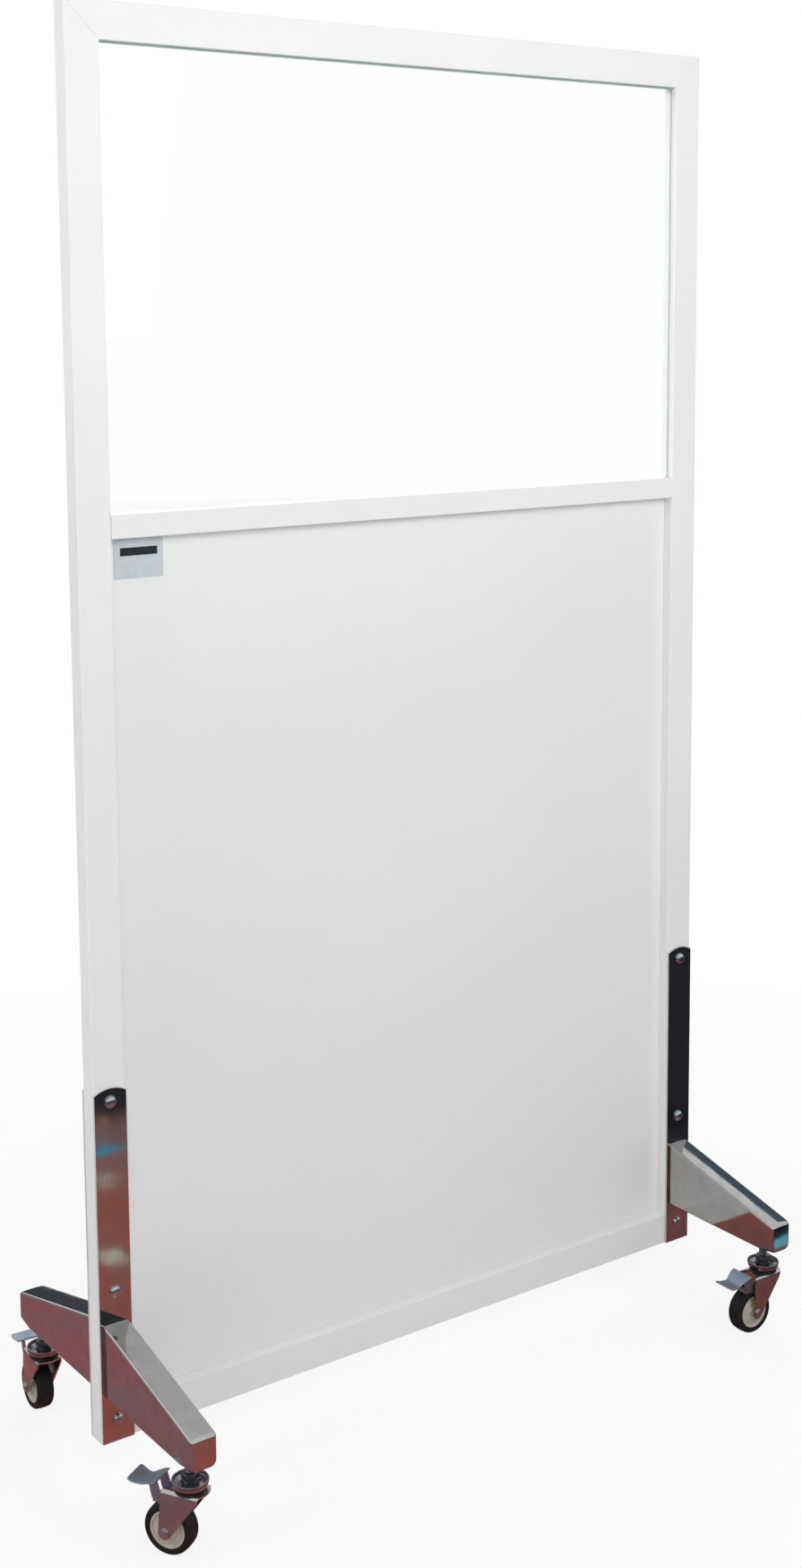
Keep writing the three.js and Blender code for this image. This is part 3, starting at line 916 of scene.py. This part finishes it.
    def floor(self) -> None:
        """Plain pale floor that keeps the shadow near the partition and runs out into the white background."""
        sheet = NodeSheet("pale_floor")
        sheet.set(Roughness=0.9, Specular_IOR_Level=0.1)
        sheet.to("Base Color", sheet.blend(sheet.span(sheet.noise(900, 2), 0, 1), (0.82, 0.82, 0.82), (0.8, 0.8, 0.8)))
        glow = sheet.nodes.new("ShaderNodeEmission")
        glow.inputs["Color"].default_value = (1, 1, 1, 1)
        fade = sheet.span(self._distance(sheet), 0.86, 1.0, *self.floor_fade)
        share = combine(sheet.tree, "MULTIPLY", fade, self._seen(sheet.tree))
        mixed = mix_shaders(sheet.tree, share, sheet.shader.outputs["BSDF"], glow.outputs["Emission"])
        sheet.links.new(mixed, sheet.output.inputs["Surface"])
        self._disc("floor", self.floor_radius, 0.0, sheet.material)

    def reflector(self) -> None:
        """Glowing cards that only gloss can see: painted reflections in the polished steel, the coats and the pane.

        On the floor lies a round red brown patch, purple at the left, dimmer to the right and greyer in front, on a
        ground that is dark in front and pale behind, with its painted glints and dark spots on it. A dark wall stands
        round it, and a dark shade hangs high up on the right; both give painted dark reflections.
        """
        sheet = NodeSheet("painted_reflection_floor")
        split = sheet.nodes.new("ShaderNodeSeparateXYZ")
        sheet.links.new(sheet.place, split.inputs[0])
        x, y = split.outputs["X"], split.outputs["Y"]
        patch = sheet.span(sheet.noise(170, 3), 0, 1, 0.40, 0.66)
        left = sheet.blend(patch, *REFLECTED_PURPLE_GROUND)
        middle = sheet.blend(patch, *REFLECTED_RED_GROUND)
        near = sheet.blend(sheet.span(x, 0, 1, *self.purple_edge), left, middle)
        near = sheet.blend(sheet.span(x, 0, 1, *self.dim_edge), near, REFLECTED_DIM_GROUND)
        near = sheet.blend(sheet.span(y, 1, 0, *self.near_edge), near, REFLECTED_NEAR_GROUND)
        beyond = sheet.blend(sheet.span(y, 0, 1, *self.far_edge), *REFLECTED_FAR_GROUND)
        shift = sheet.nodes.new("ShaderNodeVectorMath")
        shift.operation = "SUBTRACT"
        shift.inputs[1].default_value = (*self.red_middle, 0.0)
        sheet.links.new(sheet.place, shift.inputs[0])
        away = self._distance(sheet, shift.outputs[0])
        colour = sheet.blend(sheet.span(away, 0, 1, self.red_reach - 0.012, self.red_reach + 0.008), near, beyond)
        # Painted glints and dark spots for the steel to mirror.
        for mark in PAINTED_REFLECTION_MARKS:
            colour = sheet.blend(mark.mask(sheet, x, y), colour, mark.colour)
        self._glow(sheet, colour)
        self._gloss_only(self._disc("painted_reflection_floor", self.card_radius, self.card_height, sheet.material))
        # Painted dark reflections: a low wall all round and a shade high up on the right.
        self._shell("painted_reflection_wall", (-180, 180), self.wall_rise, self.card_radius, REFLECTED_WALL_HAZE)
        self._shell("painted_reflection_shade", self.shade_turn, self.shade_rise, self.shade_radius, REFLECTED_SHADE_HAZE)

    def _shell(self, name: str, turn: tuple[float, float], rise: tuple[float, float], radius: float,
               colours: tuple[Colour, Colour]) -> None:
        """Glowing card that stands round the partition and paints reflections: a patch of an upright drum.

        Args:
            name: Name of the card.
            turn: Start and end in degrees from +Y towards +X.
            rise: Lower and upper edge as angles in degrees over the floor.
            radius: Radius of the drum in metres.
            colours: The two colours of its haze.
        """
        sheet = NodeSheet(name)
        self._glow(sheet, sheet.blend(sheet.span(sheet.noise(900, 2), 0, 1), *colours))
        angle = np.radians(np.linspace(*turn, 97))
        heights = [radius * math.tan(math.radians(v)) for v in rise]
        rows = [np.stack([radius * np.sin(angle), radius * np.cos(angle), h + 0 * angle], -1) for h in heights]
        piece = Skin().sheet(np.stack(rows) / MM).piece(name, sheet.material, closed=False)
        self._gloss_only(piece)

    @staticmethod
    def _glow(sheet: NodeSheet, colour: Socket) -> None:
        """Makes a material give off a colour.

        Args:
            sheet: The material.
            colour: Its colour.
        """
        glow = sheet.nodes.new("ShaderNodeEmission")
        sheet.links.new(colour, glow.inputs["Color"])
        sheet.links.new(glow.outputs["Emission"], sheet.output.inputs["Surface"])

    @staticmethod
    def _gloss_only(card: bpy.types.Object) -> None:
        """Hides a card from everything but reflections."""
        for ray in ("camera", "diffuse", "transmission", "volume_scatter", "shadow"):
            setattr(card, "visible_" + ray, False)

    def build(self) -> None:
        """Sets up the whole studio."""
        bpy.context.scene.view_settings.view_transform = "Standard"
        self.camera()
        self.world()
        self.floor()
        self.reflector()
        for lamp in LAMPS:
            lamp.build()


# ---------- the partition ----------


@dataclass
class Box:
    """Corners of a solid in millimetres."""

    low: Array
    high: Array

    @classmethod
    def of(cls, node: str) -> "Box":
        """Box of a CAD node."""
        low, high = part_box(node)
        return cls(np.array(low) / MM, np.array(high) / MM)

    @property
    def middle(self) -> Array:
        """Centre of the box."""
        return (self.low + self.high) / 2


def dress(node: str, finish: Finish) -> None:
    """Gives a CAD node that stays in view its finish.

    Args:
        node: Name of the node.
        finish: Its finish.
    """
    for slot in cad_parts[node].material_slots:
        slot.material = finish.material


@dataclass
class Frame:
    """White hollow sections: two stiles, top, middle and bottom rail."""

    bars: tuple[str, ...] = ("left_stile", "right_stile", "top_rail", "bottom_rail", "mid_rail")

    def build(self) -> None:
        """Dresses the bars."""
        for bar in self.bars:
            dress(bar, WHITE)
        log.info("frame: %d bars dressed", len(self.bars))


@dataclass
class Window:
    """Clear pane with its seal strip and rear bead; the seal's dark green grey is a painted shadow line under the top
    rail.
    """

    def build(self) -> None:
        """Dresses the pane and its trim."""
        dress("window_pane", PANE)
        dress("window_seal", SEAL)
        dress("window_bead", WHITE)
        log.info("window: pane, seal and bead dressed")


@dataclass
class LowerPanel:
    """Sandwich panel with its trim, and the blank plate in its upper left corner.

    The band gives the left, low, right and high side of the dark band, from the plate's lower left corner.
    """

    corner: float = 1.6
    plate_edge: float = 0.12
    band: tuple[float, float, float, float] = (9.0, 28.0, 60.0, 38.0)
    band_corner: float = 0.5
    band_edge: float = 0.05
    band_rise: float = 0.12

    def build(self) -> None:
        """Dresses the sheets and makes the blank plate with its dark band."""
        for node, finish in (("panel_front_skin", SKIN_WHITE), ("panel_back_skin", SKIN_WHITE),
                             ("panel_lead_core", LEAD), ("panel_spacer", WHITE), ("panel_bead", WHITE)):
            dress(node, finish)
        box = Box.of("label_plate")
        x, z = box.low[0], box.low[2]
        face = -box.low[1] - self.band_rise
        plate = fillet(rectangle(x, z, box.high[0], box.high[2], self.corner))
        skin = Skin().add(upright(slab(plate, -box.high[1], face, self.plate_edge, 2)))
        publish(skin.piece("blank_label", FOIL.material), "partition", Slot.LABEL_FOIL, "label_plate")
        left, low, right, high = self.band
        band = fillet(rectangle(x + left, z + low, x + right, z + high, self.band_corner), 3)
        skin = Skin().add(upright(slab(band, face - self.band_edge, face + self.band_rise, self.band_edge, 2)))
        publish(skin.piece("label_band", BAND.material), "partition", Slot.LABEL_FOIL)
        log.info("lower panel: sheets dressed, blank plate made")


@dataclass
class Foot:
    """Foot at one corner: a crowned plate against the stile and a wedge-shaped leg of polished sheet.

    A face of the plate whose normal has a smaller part along Y than flat_share is one of its thin sides, and keeps
    the look of a cut edge.
    """

    corner: Corner
    crown: float = 6.5
    crown_gap: float = 0.03
    side_corner: float = 0.9
    base_corner: float = 1.0
    edge: float = 0.5
    flat_share: float = 0.97
    under_radius: float = 2.5
    top_radius: float = 3.0
    camber: float = 0.7
    nose_radius: float = 6.0
    nose_corner: float = 9.0
    nose_pull: float = 0.6
    root_top: float = 219.0
    nose_top: float = 166.0
    leg_crease: float = 24.0

    def plate(self) -> None:
        """Plate with a crowned top: a slab whose outline ends in an arc over its width."""
        node = f"foot_plate_{self.corner.label}"
        box = Box.of(node)
        x0, x1 = box.low[0], box.high[0]
        w = (x1 - x0) / 2
        radius = (w * w + self.crown**2) / (2 * self.crown)
        side = box.high[2] - self.crown
        start = math.atan2(side - (box.high[2] - radius), w)
        angle = np.linspace(start + self.crown_gap, np.pi - start - self.crown_gap, 25)
        arc = np.stack([(x0 + x1) / 2 + radius * np.cos(angle), box.high[2] - radius + radius * np.sin(angle)], -1)
        corners = [(x0, box.low[2], self.base_corner), (x1, box.low[2], self.base_corner),
                   (x1, side, self.side_corner), *[(*p, 0.01) for p in arc], (x0, side, self.side_corner)]
        rings = upright(slab(fillet(corners, 4), -box.high[1], -box.low[1], self.edge))
        piece = Skin().add(rings).piece(f"steel_plate_{self.corner.label}", POLISHED.material)
        piece.data.materials.append(CUT_EDGE.material)
        for face in piece.data.polygons:
            face.material_index = int(abs(face.normal.y) < self.flat_share)
        publish(piece, "partition", Slot.POLISHED_STEEL, node)

    def leg(self) -> None:
        """Wedge leg: rounded rectangles lofted from the plate to the nose.

        The top falls in a straight line and sinks a little towards both sides, with the square of the distance from
        its middle. Over the last stretch the lower corners grow to the nose's corner radius, and the last rings
        shrink along a quarter circle, so that the nose is rounded all round.
        """
        node = f"foot_leg_{self.corner.label}"
        box = Box.of(node)
        toward = self.corner.side[1]
        root, nose = (box.high[1], box.low[1]) if toward < 0 else (box.low[1], box.high[1])
        length = abs(nose - root)
        bend = 3 * self.nose_corner
        quarter = np.linspace(0, np.pi / 2, 9)[1:]
        run = np.concatenate([np.linspace(0, length - bend, 12),
                              np.linspace(length - bend, length - self.nose_radius, 8)[1:],
                              length - self.nose_radius * (1 - np.sin(quarter))])
        inset = np.concatenate([np.zeros(len(run) - len(quarter)),
                                self.nose_radius * self.nose_pull * (1 - np.cos(quarter))])
        grow = np.clip((run - (length - bend)) / (bend - self.nose_radius), 0, 1)
        low = box.low[2] + inset
        high = self.root_top + (self.nose_top - self.root_top) * run / length - inset
        r_low = self.under_radius + (self.nose_corner - self.under_radius) * grow**0.8
        half = (box.high[0] - box.low[0]) / 2 - inset
        steps = 6
        ring = rounded_ring(half, low, high, r_low - inset * 0.6,
                            np.full_like(run, self.top_radius) - inset * 0.3, steps)
        right, left = np.split(ring, [steps + 1], 1)
        share = np.linspace(0, 1, 12)[None, 1:-1, None]
        across = right[:, -1:] + (left[:, :1] - right[:, -1:]) * share
        ring = np.concatenate([right, across, left], 1)
        upper = ring[..., 1] > (low + high)[:, None] / 2
        ring[..., 1] -= self.camber * upper * (ring[..., 0] / half[:, None]) ** 2
        y = root + toward * run
        points = np.stack([ring[..., 0] + box.middle[0], np.broadcast_to(y[:, None], ring.shape[:2]), ring[..., 1]],
                          -1)
        piece = Skin().add(points).piece(f"wedge_leg_{self.corner.label}", POLISHED.material, self.leg_crease)
        publish(piece, "partition", Slot.POLISHED_STEEL, node)

    def build(self) -> None:
        """Makes the plate and the leg."""
        self.plate()
        self.leg()
        log.info("foot %s: plate and leg made", self.corner.label)


@dataclass
class FootBolt:
    """Through-bolt of a foot, with a dome in front and a dome nut behind, each on a thin washer."""

    node: str
    head: float = 8.0
    dome: float = 5.0
    dome_inset: float = 0.9
    dome_wall: float = 1.6
    shaft: float = 4.0

    def profile(self, seat: float) -> Array:
        """Profile from the axis of one end to the other, as (radius, station) along the bolt.

        Each dome is a flattened quarter ellipse over a short wall that stands on a washer.

        Args:
            seat: Distance of the washers' inner faces from the middle.

        Returns:
            The profile.
        """
        quarter = np.linspace(np.pi / 2, 0, 14)
        radius = (self.head - self.dome_inset) * np.cos(quarter)
        rise = seat + self.dome_wall + (self.dome - self.dome_wall) * np.sin(quarter)
        washer = np.array([(self.head - self.dome_inset, seat + 1.1), (self.head - 0.25, seat + 1.0),
                           (self.head, seat + 0.7), (self.head, seat + 0.2), (self.head - 0.2, seat),
                           (self.shaft, seat)])
        one = np.concatenate([np.stack([radius, rise], -1), washer])
        return np.concatenate([one, one[::-1] * (1, -1)])

    def build(self) -> None:
        """Makes the bolt."""
        box = Box.of(self.node)
        seat = (box.high[1] - box.low[1]) / 2 - self.dome
        points = upright(turned(self.profile(seat), 40)) + box.middle
        piece = Skin().add(points).piece(self.node.replace("foot_bolt", "dome_bolt"), ZINC.material)
        publish(piece, "partition", Slot.ZINC_STEEL, self.node)


@dataclass
class Caster:
    """Braked swivel caster at one corner.

    In its own frame the swivel axis is Z at the origin and the wheel trails towards +X, its axle along Y. The slant
    is the fork's front edge, from (x, z) at its foot to its head, and the nuts stand on the heights of nut_seats.
    """

    corner: Corner
    trail: float = 27.0
    axle_height: float = 32.5
    pedal_turn: float = 8.0
    pivot: tuple[float, float] = (26.0, 72.0)
    fork_half: float = 15.5
    fork_top: float = 84.0
    fork_wall: float = 2.5
    fork_bend: float = 3.2
    nose: float = 24.0
    notch: float = 10.0
    notch_half: float = 10.6
    notch_ease: float = 1.2
    eye_radius: float = 8.5
    slant_foot: tuple[float, float] = (20.46, 27.07)
    slant_head: tuple[float, float] = (-16.3, 77.0)
    rear_top: float = 31.0
    thread: tuple[float, float] = (107.5, 125.0)
    thread_pitch: float = 1.5
    thread_depth: float = 0.85
    thread_radius: float = 6.0
    nut_across: float = 19.0
    nut_height: float = 8.0
    nut_seats: tuple[float, ...] = (91.6, 100.2, 127.5)
    flange: tuple[float, float] = (11.1, 12.7)
    shoe_half: float = 11.6
    tab_half: float = 0.8
    tip_start: float = 0.93
    tip_inset: float = 3.5
    origin: Array = field(init=False)
    heading: float = field(init=False)

    def __post_init__(self) -> None:
        """Takes the swivel axis and the heading from the solids."""
        axis = Box.of(f"caster_cup_{self.corner.label}").middle
        wheel = Box.of(f"caster_tyre_{self.corner.label}").middle
        self.origin = np.array([axis[0], axis[1], 0.0])
        self.heading = math.atan2(wheel[1] - axis[1], wheel[0] - axis[0])

    def placed(self, points: Array) -> Array:
        """Turns points to the caster's heading and moves them to its corner.

        Args:
            points: Points in the caster's own frame.

        Returns:
            The points in their place.
        """
        c, s = math.cos(self.heading), math.sin(self.heading)
        x, y, z = points[..., 0], points[..., 1], points[..., 2]
        return np.stack([x * c - y * s, x * s + y * c, z], -1) + self.origin

    def pressed(self, points: Array) -> Array:
        """Turns the pedal's points down about its pin where the brake is on at rest.

        Args:
            points: Points in the caster's own frame, with the pedal up.

        Returns:
            The points at rest.
        """
        if not self.corner.pressed:
            return points
        turn = math.radians(self.pedal_turn)
        x, z = points[..., 0] - self.pivot[0], points[..., 2] - self.pivot[1]
        return np.stack([x * math.cos(turn) + z * math.sin(turn) + self.pivot[0], points[..., 1],
                         z * math.cos(turn) - x * math.sin(turn) + self.pivot[1]], -1)

    def name(self, piece: str) -> str:
        """Name of a piece at this corner."""
        return f"{piece}_{self.corner.label}"

    def stem(self) -> None:
        """Threaded stem with its nuts; the thread is a triangle wave along the height that turns with the angle."""
        facets = 40
        low, high = self.thread
        angle = np.arange(facets) * 2 * np.pi / facets
        height = np.arange(low, high, self.thread_pitch / 8)
        phase = (height[:, None] / self.thread_pitch - angle / (2 * np.pi)) % 1.0
        thread = circles(self.thread_radius - self.thread_depth * np.abs(2 * phase - 1), height[:, None], facets)
        shank = turned(np.array([(0, 76.5), (7.9, 76.5), (8.5, 77.1), (8.5, 79.0), (8.0, 79.5), (5.0, 80.5),
                                 (5.0, 88.6), (5.8, 88.8), (5.8, low)]), facets)
        tip = turned(np.array([(5.8, high), (5.8, 140.0), (5.0, 141.0), (0, 141.0)]), facets)
        skin = Skin().add(np.concatenate([shank, thread, tip]))
        for seat in self.nut_seats:
            skin.add(hex_ring(self.nut_across, seat, seat + self.nut_height))
        # The stem's dark tint is painted shade.
        piece = self.finish_piece(skin, "threaded_stem", SHADED_DULL_ZINC, 28)
        publish(piece, "partition", Slot.ZINC_STEEL, f"caster_stem_{self.corner.label}")

    def finish_piece(self, skin: Skin, name: str, finish: Finish, crease: float = CREASE) -> bpy.types.Object:
        """Makes a piece of this caster from a skin drawn in the caster's own frame."""
        skin.blocks = [self.placed(block) for block in skin.blocks]
        return skin.piece(self.name(name), finish.material, crease)

    def cup(self) -> None:
        """Raceway cup, open upwards: a pressed bowl with a rolled rim."""
        profile = fillet([(6.3, 88.6, 0.3), (16.5, 88.6, 2.5), (20.9, 91.0, 3.0), (22.7, 97.0, 2.0), (22.5, 99.2, 0.7),
                          (20.9, 99.2, 0.7), (20.2, 94.8, 2.0), (15.6, 91.3, 2.0), (6.3, 91.3, 0.3)], 6)
        # Its darker tint, from CUP_STEEL, is painted shade inside the bowl.
        piece = self.finish_piece(Skin().add(turned(profile, 72), looped=True), "raceway_cup", CUP_STEEL)
        publish(piece, "partition", Slot.POLISHED_STEEL, f"caster_cup_{self.corner.label}")

    def bearing(self) -> None:
        """Dark seal ring between the cup and the fork, with a shallow groove."""
        profile = fillet([(7.0, 84.3, 0.3), (19.3, 84.3, 0.4), (19.5, 85.6, 0.3), (18.9, 86.2, 0.3), (19.5, 86.8, 0.3),
                          (19.3, 88.2, 0.4), (7.0, 88.2, 0.3)], 3)
        piece = self.finish_piece(Skin().add(turned(profile, 72), looped=True), "bearing_seal", DARK_SEAL)
        publish(piece, f"swivel_{self.corner.label}", Slot.DARK_SEAL, f"caster_bearing_{self.corner.label}")

    def fork(self) -> None:
        """Folded fork: one sheet in an upside-down U, its rows running front to back.

        A row's place across the U gives its y and z. On a leg the row runs from the slanting front edge to the rear
        edge, which end in a round eye about the axle. On the crown it starts on the circle of the nose, and its rear
        end draws in by the notch for the wheel.
        """
        half, top, bend = self.fork_half, self.fork_top, self.fork_bend
        eye_x, eye_z, eye_r = self.trail, self.axle_height, self.eye_radius
        (foot_x, foot_z), (head_x, head_z) = self.slant_foot, self.slant_head
        down = np.concatenate([eye_z - eye_r * np.cos(np.linspace(0, 0.36, 12) * np.pi),
                               np.linspace(28.9, top - bend, 26)[1:]])
        turn = np.linspace(0, np.pi / 2, 8)[1:]
        across = np.linspace(-(half - bend), half - bend, 21)[1:-1]
        side = len(down) + len(turn)
        y = np.concatenate([np.full_like(down, half), half - bend + bend * np.cos(turn), -across])
        z = np.concatenate([down, top - bend + bend * np.sin(turn), np.full_like(across, top)])
        y, z = np.concatenate([y, -y[:side][::-1]]), np.concatenate([z, z[:side][::-1]])
        reach = np.sqrt(np.maximum(eye_r**2 - (z - eye_z) ** 2, 0))
        slant = np.interp(z, [foot_z, head_z], [foot_x, head_x])
        crown = -np.sqrt(self.nose**2 - y**2) + (top - z) * 2 / 7
        front = np.where(z >= head_z, crown, np.where(z > foot_z, slant, eye_x - reach))
        rear = np.where(z > eye_z, np.interp(z, [eye_z, top], [eye_x + eye_r, self.rear_top]), eye_x + reach)
        inside = np.clip((self.notch_half + self.notch_ease - np.abs(y)) / self.notch_ease, 0, 1)
        rear = rear - self.notch * inside**0.5
        share = (1 - np.cos(np.linspace(0, np.pi, 22))) / 2
        x = front[:, None] + (rear - front)[:, None] * share
        grid = np.stack([x, np.broadcast_to(y[:, None], x.shape), np.broadcast_to(z[:, None], x.shape)], -1)
        skin = Skin().sheet(self.placed(grid))
        piece = skin.piece(self.name("folded_fork"), PRESSED.material, 40.0, closed=False)
        wall = piece.modifiers.new("wall", "SOLIDIFY")
        wall.thickness, wall.offset, wall.use_even_offset = self.fork_wall * MM, -1.0, True
        edge = piece.modifiers.new("edge", "BEVEL")
        edge.width, edge.segments, edge.limit_method, edge.angle_limit = 0.5 * MM, 2, "ANGLE", math.radians(50)
        publish(piece, f"swivel_{self.corner.label}", Slot.POLISHED_STEEL, f"caster_fork_{self.corner.label}")

    def axle(self) -> None:
        """Axle bolt: a domed hexagon head on one side, a hexagon nut with the bolt's end on the other."""
        seat = self.fork_half + 0.2
        end = seat + 3.6
        bolt = np.array([(0, -seat - 0.1), (3.9, -seat), (3.9, end), (3.6, end + 0.9), (0, end + 1.0)])
        skin = Skin().add(turned(bolt, 32))
        skin.add(hex_ring(10.4, -end + 0.1, -seat, 0.8))
        skin.add(hex_ring(11.6, seat, end, 0.8))
        skin.blocks = [upright(block) * (1, -1, 1) + (self.trail, 0, self.axle_height) for block in skin.blocks]
        piece = self.finish_piece(skin, "axle_bolt", ZINC, 28)
        publish(piece, f"swivel_{self.corner.label}", Slot.ZINC_STEEL, f"caster_axle_{self.corner.label}")

    def wheel(self) -> None:
        """Tyre with rounded shoulders and a mould line, and a dished hub with two rings."""
        tyre = fillet(mirrored([(23.8, 10.8, 0.3), (27.0, 12.0, 1.2), (29.6, 11.6, 2.2), (31.9, 8.8, 3.0),
                                (32.5, 1.4, 0.8), (32.35, 0.35, 0.2)]), 5)
        hub = fillet(mirrored([(4.2, 12.0, 0.3), (8.4, 12.0, 0.6), (9.7, 9.7, 0.8), (12.4, 9.0, 0.6), (13.0, 9.5, 0.3),
                               (14.2, 9.4, 0.3), (14.8, 8.6, 0.4), (19.6, 8.2, 0.8), (21.2, 10.6, 0.6),
                               (23.5, 10.6, 0.4)]), 3)
        for profile, name, finish, slot, node in (
                (tyre, "tyre", TYRE, Slot.TYRE_RUBBER, "caster_tyre"),
                (hub, "hub", HUB, Slot.HUB_PLASTIC, "caster_hub")):
            points = upright(turned(profile, 96)) + (self.trail, 0, self.axle_height)
            piece = self.finish_piece(Skin().add(points, looped=True), name, finish)
            publish(piece, f"wheel_{self.corner.label}", slot, f"{node}_{self.corner.label}")

    def pedal(self) -> None:
        """Brake pedal: a dished foot tab, wide at both ends, on two side flanges, with its shoe and its pin.

        The tab is a flat rounded section carried along a bent line, its half width given along the line.
        """
        station = np.linspace(0, 1, 61)
        knots = np.array([(38.2, 93.0, 18.0), (44.5, 91.4, 18.0), (50.5, 88.9, 16.2), (59.0, 85.6, 14.2),
                          (66.0, 86.0, 15.6), (72.5, 87.9, 17.3), (77.7, 90.25, 17.5)])
        pace = np.concatenate([[0], np.cumsum(np.hypot(*np.diff(knots[:, :2], axis=0).T))])
        pace /= pace[-1]
        x, z, w = (self.smooth(pace, knots[:, k], station) for k in range(3))
        tip = np.clip((station - self.tip_start) / (1 - self.tip_start), 0, 1)
        w = w - self.tip_inset * (1 - np.sqrt(np.maximum(1 - tip**2, 0)))
        slope = np.stack([np.gradient(x), np.gradient(z)], -1)
        slope /= np.linalg.norm(slope, axis=1, keepdims=True)
        thick, edge = np.full_like(w, self.tab_half), np.full_like(w, self.tab_half - 0.1)
        ring = rounded_ring(w, -thick, thick, edge, edge, 3)
        across, lift = ring[..., 0], ring[..., 1]
        tab = np.stack([x[:, None] - slope[:, 1:2] * lift, across, z[:, None] + slope[:, 0:1] * lift], -1)
        flange = fillet([(21, 68.5, 2.5), (29, 66, 3), (36, 64.6, 2), (46, 71, 3), (50, 88.4, 1), (44.5, 91.4, 1),
                         (38.4, 93.0, 1), (34, 79.5, 4), (21, 76.5, 2.5)], 4)
        skin = Skin().add(tab)
        inner, outer = self.flange
        for low, high in ((inner, outer), (-outer, -inner)):
            skin.add(upright(slab(flange, low, high, 0.35, 2)))
        shoe = fillet(rectangle(38.5, 65.6, 45.5, 69.6, 0.8), 3)
        skin.add(upright(slab(shoe, -self.shoe_half, self.shoe_half, 0.4, 2)))
        pin = np.array([(0, -17.2), (3.2, -17.2), (4.0, -16.6), (4.0, -15.9), (2.4, -15.8), (2.4, 15.8), (4.0, 15.9),
                        (4.0, 16.6), (3.2, 17.2), (0, 17.2)])
        skin.add(upright(turned(pin, 28)) + (self.pivot[0], 0, self.pivot[1]))
        skin.blocks = [self.pressed(block) for block in skin.blocks]
        piece = self.finish_piece(skin, "foot_pedal", SATIN_ZINC, 30)
        publish(piece, f"pedal_{self.corner.label}", Slot.ZINC_STEEL, f"brake_pedal_{self.corner.label}")

    @staticmethod
    def smooth(knots: Array, values: Array, at: Array) -> Array:
        """Cubic run through values: each stretch is a Hermite cubic whose end slopes are the values' own gradients.

        Args:
            knots: Places of the values, rising.
            values: The values.
            at: Places to work out.

        Returns:
            The run at those places.
        """
        slope = np.gradient(values, knots)
        k = np.clip(np.searchsorted(knots, at, "right") - 1, 0, len(knots) - 2)
        width = knots[k + 1] - knots[k]
        t = (at - knots[k]) / width
        return ((2 * t**3 - 3 * t**2 + 1) * values[k] + (t**3 - 2 * t**2 + t) * width * slope[k]
                + (3 * t**2 - 2 * t**3) * values[k + 1] + (t**3 - t**2) * width * slope[k + 1])

    def build(self) -> None:
        """Makes all pieces of the caster."""
        for make in (self.stem, self.cup, self.bearing, self.fork, self.axle, self.wheel, self.pedal):
            make()
        log.info("caster %s: eight pieces made", self.corner.label)


def main() -> None:
    """Builds the studio and the partition, and reports each piece."""
    logging.basicConfig(level=logging.INFO, format="%(name)s: %(message)s")
    stile = Box.of("left_stile")
    Studio(middle_y=stile.middle[1] * MM).build()
    Frame().build()
    Window().build()
    LowerPanel().build()
    for corner in Corner:
        Foot(corner).build()
        Caster(corner).build()
    for side in ("left", "right"):
        for level in ("low", "middle", "high"):
            FootBolt(f"foot_bolt_{side}_{level}").build()
    log.info("bolts: six made")


if __name__ == "__main__":
    main()
